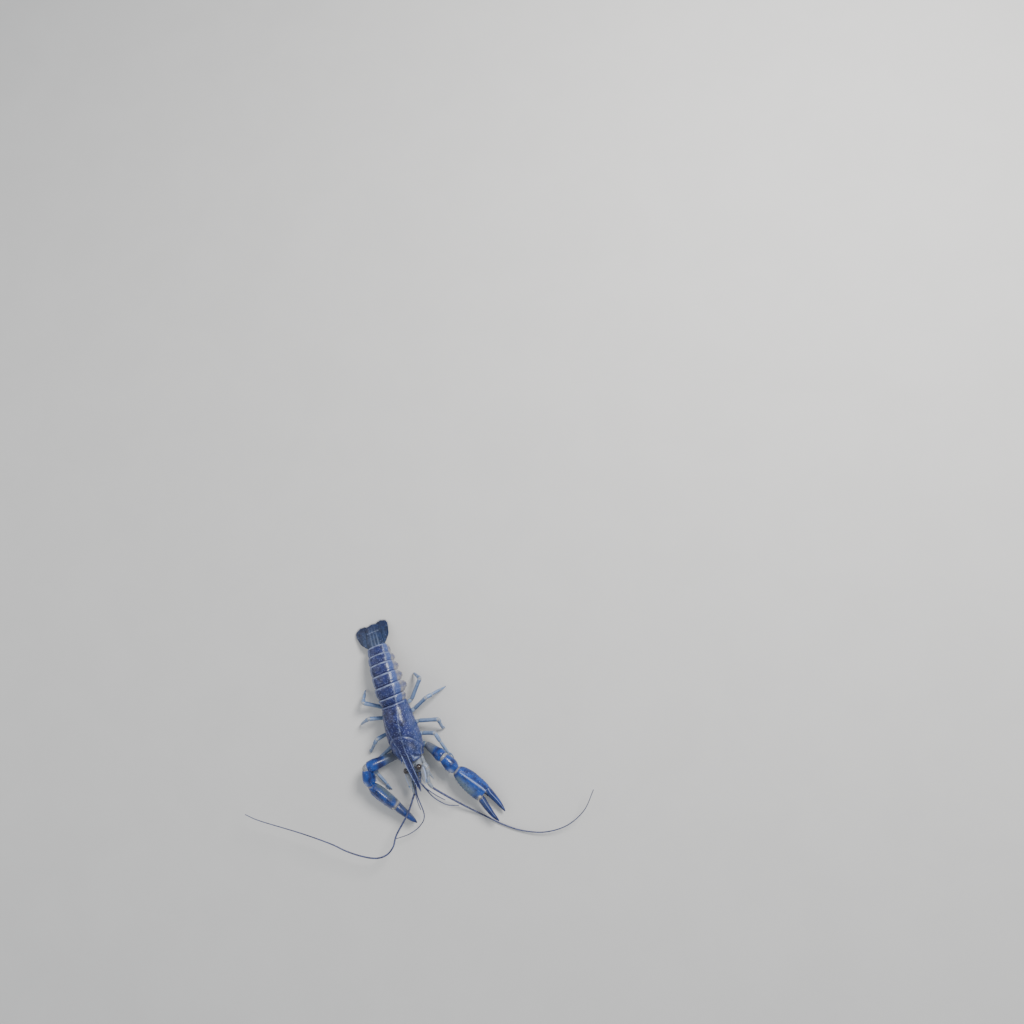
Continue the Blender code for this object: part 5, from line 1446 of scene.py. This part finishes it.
def hand_outline(place, y, table, at, ridges, fade, cap=1.0, lift=0.0):
    """A section of the hand at y, as wide and thick as its table says: an oval with longitudinal ridges, each
    (angle in degrees, height, width in degrees), which fade takes down."""
    half_width, half_thick, shift = section(table, at)
    ring = []
    for i in range(HAND_POINTS):
        degrees = 360.0 * i / HAND_POINTS
        angle = math.radians(degrees)
        raised = sum(height * fade * bell(off_angle(degrees, middle), width) for middle, height, width in ridges)
        ring.append(place @ Vector((shift + math.cos(angle) * (half_width * cap + raised), y,
                                    math.sin(angle) * (half_thick * cap + lift + raised))))
    return ring


def turned_ring(ring, centre, way, frame_way):
    """The same ring turned so that it is square to another direction."""
    turn = frame_way.rotation_difference(way).to_matrix()
    return [centre + turn @ (p - centre) for p in ring]


def hand_paint(lengths, word):
    # Painted shade: the whole right hand is darker.
    right_hand_shade = 0.0 if word == "left" else 0.16

    def paint(i, j, point):
        y = lengths[i]
        degrees = 360.0 * j / HAND_POINTS
        finger = smooth((y - PALM_LENGTH) / 3.0)
        tip = smooth((y - PALM_LENGTH - FIXED_FINGER_LENGTH * 0.82) / 2.5)
        crest = off_angle(degrees, back_ridge(y))
        # the pale face of each hand is the one towards the head
        turned = crest - (8.0 if word == "left" else 92.0)
        inner = smooth(turned / 48.0) * (1.0 - smooth((turned - 97.0) / 30.0))
        below = bell(off_angle(degrees, 270.0), 55.0)
        hinge = bell(y - PALM_LENGTH, 1.4) * smooth((crest - 30.0) / 30.0)
        return {
            "pale": max(inner * (1.0 - 0.7 * smooth((y - 15.0) / 6.0)) * smooth((y - 1.0) / 3.0), 0.7 * below),
            "cream": max(0.8 * bell(y, 0.6), 0.85 * hinge),
            # The line along the crest is a painted highlight, the wet shine on the ridge of the hand and fixed finger.
            "line": bell(crest, 3.6) * smooth((y - 1.0) / 3.0) * (1.0 - 0.5 * tip),
            "dark": max(0.8 * tip, right_hand_shade, 0.5 * finger * smooth(abs(crest) / 14.0), 0.3 * bell(crest + 80.0, 25.0)),
            "granules": (0.4 * inner + 0.06) * smooth((y - 1.5) / 2.0) * (1.0 - finger),
            "hairs": 0.3 * finger * inner,
        }
    return paint


def teeth(shells, place, table, start, length, lean, count):
    """Low rounded teeth along a finger's cutting edge, the largest nearest to the hinge."""
    out = facing(place, lean, 0, 0)
    for i in range(count):
        t = lerp(0.14, 0.86, i / (count - 1))
        size = lerp(0.62, 0.22, t) * (1.35 if i in (2, 5) else 1.0)
        half_width, _, shift = section(table, t)
        base = place @ Vector((shift + lean * (half_width - 0.25), start + length * t, 0))
        shells.spine(base, base + out * size * 1.25, size * 0.85, 12,
                     lambda i, j, p: {"cream": 0.35 + 0.08 * i, "pale": 0.5})


class CRAYFISH_OT_claws(bpy.types.Operator):
    """Makes the two claws: arm, wrist, hand with its fixed finger, and the movable finger"""

    bl_idname = "crayfish.claws"
    bl_label = "Claws"

    def execute(self, context):
        for word, side in SIDES:
            elbow, wrist = Vector(CLAWS[word]["elbow"]), Vector(CLAWS[word]["wrist"])
            self.arm(word, side, elbow)
            self.wrist(word, side, elbow, wrist)
            place = hand_frame(word, side)
            way = facing(place, 0, 1, 0).normalized()
            self.hand(word, place, way, (way + (wrist - elbow).normalized()).normalized())
            self.finger(word, place, way)
        return {"FINISHED"}

    def arm(self, word, side, elbow):
        stand = trunk()
        root = stand @ Vector((side * LIMB_ROOT_X, CLAW_ROOT_Y, 6.0))
        hip = stand @ Vector((side * CLAW_HIP_OUT, CLAW_HIP_Y, CLAW_HIP_Z))

        def tone(t, j, point):
            high = smooth((point.z - lerp(hip.z, elbow.z, t) + 1.5) / 3.0)
            return {"pale": max(0.85 * (1.0 - high), 0.8 * smooth((0.58 - t) / 0.12)), "granules": 0.2, "hairs": 0.1,
                    "dark": max(0.80 * bell(t - 0.66, 0.09) * high, 0.35 * smooth((0.6 - t) / 0.2)),
                    "cream": 0.25 * smooth((0.50 - t) / 0.2)}
        shells = Shells()
        limb_root(shells, root, root.lerp(hip, 0.5), hip, (2.45, 2.5, 2.3, 2.0), 0.95)
        stops = ((0.0, 0.84), (0.15, 0.96), (0.5, 0.98), (0.82, 1.06), (1.0, 0.86))
        bead(shells, hip, elbow, (2.4, 4.35), stops, tone, 0.05, 32, 40)
        knuckle(shells, hip, 1.75)
        knuckle(shells, elbow, 3.1)
        along = (elbow - hip).normalized()
        inward, over = across(along, UP)
        for t, lean in ((0.5, 0.2), (0.62, 0.0), (0.72, -0.25), (0.8, 0.0), (0.88, 0.35)):
            base = hip.lerp(elbow, t) + over * (2.2 + t) + inward * lean * 2.0
            shells.spine(base, base + over * 1.35 + along * 1.1, 0.55 if lean == 0.0 else 0.32, 10)
        finished(shells, f"claw_arm_shell_{word}", "claw", [f"claw_arm_{word}"], (81, 0.6, 1.2))

    def wrist(self, word, side, elbow, wrist):
        def tone(t, j, point):
            high = smooth((point.z - lerp(elbow.z, wrist.z, t) + 2.0) / 3.0)
            # The line patch on top near the far end is a painted highlight.
            return {"pale": 0.8 * (1.0 - high), "granules": 0.25, "line": 0.8 * bell(j - 5, 1.8) * bell(t - 0.78, 0.14),
                    "dark": 0.5 * bell(j - 11, 2.5) * bell(t - 0.4, 0.3),
                    "cream": max(0.85 * (1.0 - smooth(min(t, 1 - t) / 0.07)), 0.35 * (1.0 - high))}
        shells = Shells()
        stops = ((0.0, 0.80), (0.2, 1.0), (0.45, 1.18), (0.6, 1.22), (0.82, 1.08), (1.0, 0.78))
        bead(shells, elbow, wrist, (3.85, 3.6), stops, tone, sides=32, count=34)
        along = (wrist - elbow).normalized()
        inward, over = across(along, UP)
        for t, lift, reach, thick in ((0.52, 0.0, 1.9, 0.65), (0.78, 0.0, 1.5, 0.6), (0.6, 0.55, 0.9, 0.4),
                                      (0.8, 0.6, 0.8, 0.36), (0.42, 0.5, 0.7, 0.34)):
            way = (inward * side * (1.0 - lift) + over * lift).normalized()
            base = elbow.lerp(wrist, t) + way * 3.5
            shells.spine(base, base + way * reach + along * 0.9, thick, 10)
        knuckle(shells, wrist, 2.5)
        finished(shells, f"claw_wrist_shell_{word}", "claw", [f"claw_wrist_{word}"], (83, 0.6, 1.3))

    def hand(self, word, place, way, wrist_way):
        lengths, rings = [PALM_LENGTH * t / 56 for t in range(57)], []
        ridges = ((0.0, 0.16, 16.0), (180.0, 0.26, 14.0), (140.0, -0.12, 20.0), (50.0, -0.14, 18.0))
        for y in lengths:
            ring = hand_outline(place, y, PALM, y, ((back_ridge(y), 0.75, 6.0), *ridges), smooth(y / 5.0),
                                domed(y / 0.9 + 0.5, 0.05))
            if y < 3.0:
                aim = way.lerp(wrist_way, (1.0 - smooth(y / 3.0)) * 0.8).normalized()
                ring = turned_ring(ring, place @ Vector((0, y, 0)), aim, way)
            rings.append(ring)
        ridges = ((285.0, 0.16, 16.0), (180.0, 0.12, 12.0), (125.0, -0.10, 12.0), (35.0, -0.10, 12.0))
        for i in range(1, 61):
            t = i / 60
            y = PALM_LENGTH + FIXED_FINGER_LENGTH * t
            rings.append(hand_outline(place, y, FINGER, t, ((back_ridge(y), 0.50, 8.0), *ridges),
                                      1.0 - smooth((t - 0.75) / 0.25), lift=0.35 * smooth((0.16 - t) / 0.16)))
            lengths.append(y)
        shells = Shells()
        shells.add(rings, hand_paint(lengths, word))
        teeth(shells, place, FINGER, PALM_LENGTH, FIXED_FINGER_LENGTH, -1, 11)
        for i in range(9):
            y = lerp(3.6, 22.0, i / 8)
            half_width, half_thick, _ = section(PALM, y)
            for angle, size, along in ((180.0, 0.62, y), (158.0, 0.44, y + 1.1)):
                c, s = math.cos(math.radians(angle)), math.sin(math.radians(angle))
                out = (facing(place, 1, 0, 0) * c + facing(place, 0, 0, 1) * s).normalized()
                base = place @ Vector((c * (half_width - 0.15), along, s * (half_thick - 0.1)))
                shells.spine(base, base + out * size * 0.8 + way * size * 0.6, size * 0.66, 10)
        knob = place @ Vector((-HINGE_INWARD, PALM_LENGTH - 0.9, 1.9))
        shells.ball(knob, way, 1.35 * CLAWS[word]["size"], 1.0, 20, 11, even(cream=1.0))
        finished(shells, f"claw_palm_shell_{word}", "claw", [f"claw_palm_{word}"], (87, 0.7, 1.35))

    def finger(self, word, place, way):
        hinge = (place @ Matrix.Translation((-HINGE_INWARD, PALM_LENGTH + GAP, 0))
                 @ Matrix.Rotation(CLAWS[word]["open"], 4, "Z"))
        finger_way = facing(hinge, 0, 1, 0).normalized()
        rings, shares = [], [i / 64 for i in range(65)]
        ridges = ((92.0, 0.34, 11.0), (180.0, 0.14, 14.0), (260.0, 0.12, 16.0))
        for t in shares:
            fade = (1.0 - smooth((t - 0.75) / 0.25)) * smooth(t / 0.12)
            ring = hand_outline(hinge, DACTYL_LENGTH * t, DACTYL, t, ridges, fade, domed(t / 0.03 + 0.6, 0.05))
            if t < 0.1:
                aim = finger_way.lerp(way, 1.0 - t / 0.1).normalized()
                ring = turned_ring(ring, hinge @ Vector((0, DACTYL_LENGTH * t, 0)), aim, finger_way)
            rings.append(ring)

        def paint(i, j, point):
            t, degrees = shares[i], 360.0 * j / HAND_POINTS
            below = bell(off_angle(degrees, 270.0), 60.0)
            # crest is a painted highlight, a wet shine along the ridge of the movable finger.
            crest = bell(off_angle(degrees, 92.0), 5.0) * smooth((t - 0.04) / 0.1) * (1.0 - smooth((t - 0.75) / 0.15))
            return {"cream": 0.9 * (1.0 - smooth(t / 0.05)), "pale": max(0.6 * below, 0.30 * bell(t - 0.2, 0.2)),
                    "dark": max(0.8 * smooth((t - 0.82) / 0.14), 0.45), "line": 0.9 * crest,
                    "granules": 0.25 * (1.0 - smooth((t - 0.3) / 0.3))}
        shells = Shells()
        shells.add(rings, paint)
        teeth(shells, hinge, DACTYL, 0.0, DACTYL_LENGTH, 1, 10)
        finished(shells, f"claw_finger_shell_{word}", "claw", [f"claw_finger_{word}"], (89, 0.7, 1.2))


# Feelers and mouthparts

def whips(name, routes, thick, fall, nodes):
    """Ringed whips along routes of points, as one piece. fall bends their taper from one radius to the other."""
    paths = [[(knot, lerp(*thick, (i / (len(route) - 1)) ** fall) * MM) for i, knot in enumerate(route)]
             for route in routes]
    obj = path_object(name, paths, "thick")
    grow(obj, feeler_tree(), "feeler", Ring=sizes().feeler_ring, Notch=0.17, Sides=12)
    handed_over(obj, "feeler", nodes)


class CRAYFISH_OT_feelers(bpy.types.Operator):
    """Makes the antennae with their scales and long ringed feelers, and the forked antennules"""

    bl_idname = "crayfish.feelers"
    bl_label = "Feelers"

    def execute(self, context):
        for word, side in SIDES:
            self.peduncle(word)
            self.scale(word, side)
            self.antennule(word, side)
            whips(f"feeler_whip_{word}", [through(FEELER_ROUTES[word], 160)], (FEELER_RADIUS, FEELER_TIP_RADIUS), 0.8,
                  [f"feeler_{word}_{number}" for number in (1, 2, 3)])
        return {"FINISHED"}

    def peduncle(self, word):
        joints = [trunk() @ Vector(point) for point in PEDUNCLES[word]] + [Vector(FEELER_ROUTES[word][0])]

        def tone(t, j, point):
            return {"pale": 0.35, "hairs": 0.25 * smooth((t - 0.5) / 0.4), "granules": 0.2}
        shells = Shells()
        jointed(shells, joints, ((2.15, 2.1), (1.9, 1.8), (1.6, 1.45), (1.35, 1.1)), (1.6, 1.3, 1.1, 0.78),
                ((0.0, 0.86), (0.3, 1.0), (0.85, 1.02), (1.0, 0.82)), tone, 0.10, 24, 24)
        finished(shells, f"antenna_base_shell_{word}", "under", [f"antenna_base_{word}"],
                 hairs=(93, (0.0, -1.0, 0.0), 3.0e5, 0.8))

    def scale(self, word, side):
        root, turn = ANTENNA_SCALES[word]
        place = (trunk() @ Matrix.Translation(root) @ Matrix.Rotation(math.pi, 4, "Z")
                 @ Matrix.Rotation(math.radians(turn), 4, "Z") @ Matrix.Rotation(math.radians(-3.0), 4, "X"))
        steps = [t / 44 for t in range(45)]

        def paint(i, j, point):
            outer = -side * blade_across(min(j, BLADE_TOP))
            edge = smooth((outer - 0.45) / 0.3)
            return {"pale": 0.35, "line": max(0.9 * edge, 0.45 * smooth((abs(outer) - 0.86) / 0.12)), "hairs": 0.2,
                    "cream": max(0.6 * (1.0 - edge), 0.5 * smooth((0.1 - steps[i]) / 0.1))}
        shells = Shells()
        shells.add([blade_outline(place, SCALE_LENGTH, SCALE_WIDTHS, (1.1, 0.6), t, (side * 0.55,), 0.22)
                    for t in steps], paint)
        shells.spine(place @ Vector((-side * 1.5, 8.6, 0.1)), place @ Vector((-side * 1.35, 11.6, 0.0)), 0.42, 10)
        finished(shells, f"antenna_scale_blade_{word}", "leg", [f"antenna_scale_{word}"])
        out = place.to_3x3() @ Vector((side * 0.7, 0.8, 0)).normalized()
        rim = []
        for i in range(24):
            t = lerp(0.25, 0.98, i / 23)
            rim.append((place @ Vector((side * flowing(t, SCALE_WIDTHS) * 0.97, SCALE_LENGTH * t, 0)), out, 0.9))
        fringe(f"antenna_scale_fringe_{word}", [rim], "leg", 0.0010, 0.00004, 7)

    def antennule(self, word, side):
        base = trunk() @ Vector((side * 1.8, HEAD_FRONT - GAP, 11.4))
        end = Vector(ANTENNULES[word][0][0])
        shells = Shells()
        jointed(shells, [base.lerp(end, share) for share in (0.0, 0.45, 0.74, 1.0)],
                [(thick, thick * 0.95) for thick in (1.1, 0.98, 0.86)], (0.8, 0.7, 0.6),
                ((0.0, 0.84), (0.3, 1.0), (0.85, 1.0), (1.0, 0.8)), even(pale=0.4, hairs=0.2), 0.12, 20, 18)
        finished(shells, f"antennule_stem_{word}", "feeler", [], hairs=(97, (0.0, -1.0, 0.3), 3.0e5, 0.7))
        start = end + (base - end).normalized() * 0.6
        whips(f"antennule_whips_{word}", [through([start, *route], 60) for route in ANTENNULES[word]], (0.5, 0.25), 1.0,
              [f"antennule_{word}"])


class CRAYFISH_OT_mouthparts(bpy.types.Operator):
    """Makes the pair of leg-like mouthparts with their dense bristles"""

    bl_idname = "crayfish.mouthparts"
    bl_label = "Mouthparts"

    def execute(self, context):
        for word, _ in SIDES:
            joints = [trunk() @ Vector(point) for point in MAXILLIPEDS[word]]
            shells = Shells()
            jointed(shells, joints, ((1.5, 1.5), (1.45, 1.2), (1.1, 0.9), (0.8, 0.45)), (1.15, 0.92, 0.68),
                    ((0.0, 0.86), (0.3, 1.0), (0.8, 1.0), (1.0, 0.82)), even(pale=0.45, hairs=0.9), 0.10, 20, 22)
            way = (joints[4] - joints[1]).normalized()
            finished(shells, f"maxilliped_shell_{word}", "under", [f"maxilliped_{word}"],
                     hairs=(101, tuple(way * 1.2 + Vector((0, 0, -0.3))), 1.5e6, 1.1))
        return {"FINISHED"}


class CRAYFISH_PT_panel(bpy.types.Panel):
    """Lists the crayfish's pieces and settings"""

    bl_idname = "CRAYFISH_PT_panel"
    bl_label = "Freshwater crayfish"
    bl_space_type = "VIEW_3D"
    bl_region_type = "UI"
    bl_category = "Crayfish"

    def draw(self, context):
        layout = self.layout
        for operator in OPERATORS:
            layout.operator(operator.bl_idname)
        for key, settings in SETTINGS.items():
            box = layout.box()
            for name in settings.__annotations__:
                box.prop(getattr(context.scene, key), name)


OPERATORS = (CRAYFISH_OT_stage, CRAYFISH_OT_carapace, CRAYFISH_OT_abdomen, CRAYFISH_OT_tail_fan, CRAYFISH_OT_head,
             CRAYFISH_OT_mouthparts, CRAYFISH_OT_feelers, CRAYFISH_OT_walking_legs, CRAYFISH_OT_claws)
CLASSES = (*SETTINGS.values(), *OPERATORS, CRAYFISH_PT_panel)


def register():
    for cls in CLASSES:
        bpy.utils.register_class(cls)
    for key, settings in SETTINGS.items():
        setattr(bpy.types.Scene, key, bpy.props.PointerProperty(type=settings))


def unregister():
    for key in SETTINGS:
        delattr(bpy.types.Scene, key)
    for cls in reversed(CLASSES):
        bpy.utils.unregister_class(cls)


def main():
    register()
    for operator in OPERATORS:
        family, name = operator.bl_idname.split(".")
        getattr(getattr(bpy.ops, family), name)()


if __name__ == "__main__":
    main()
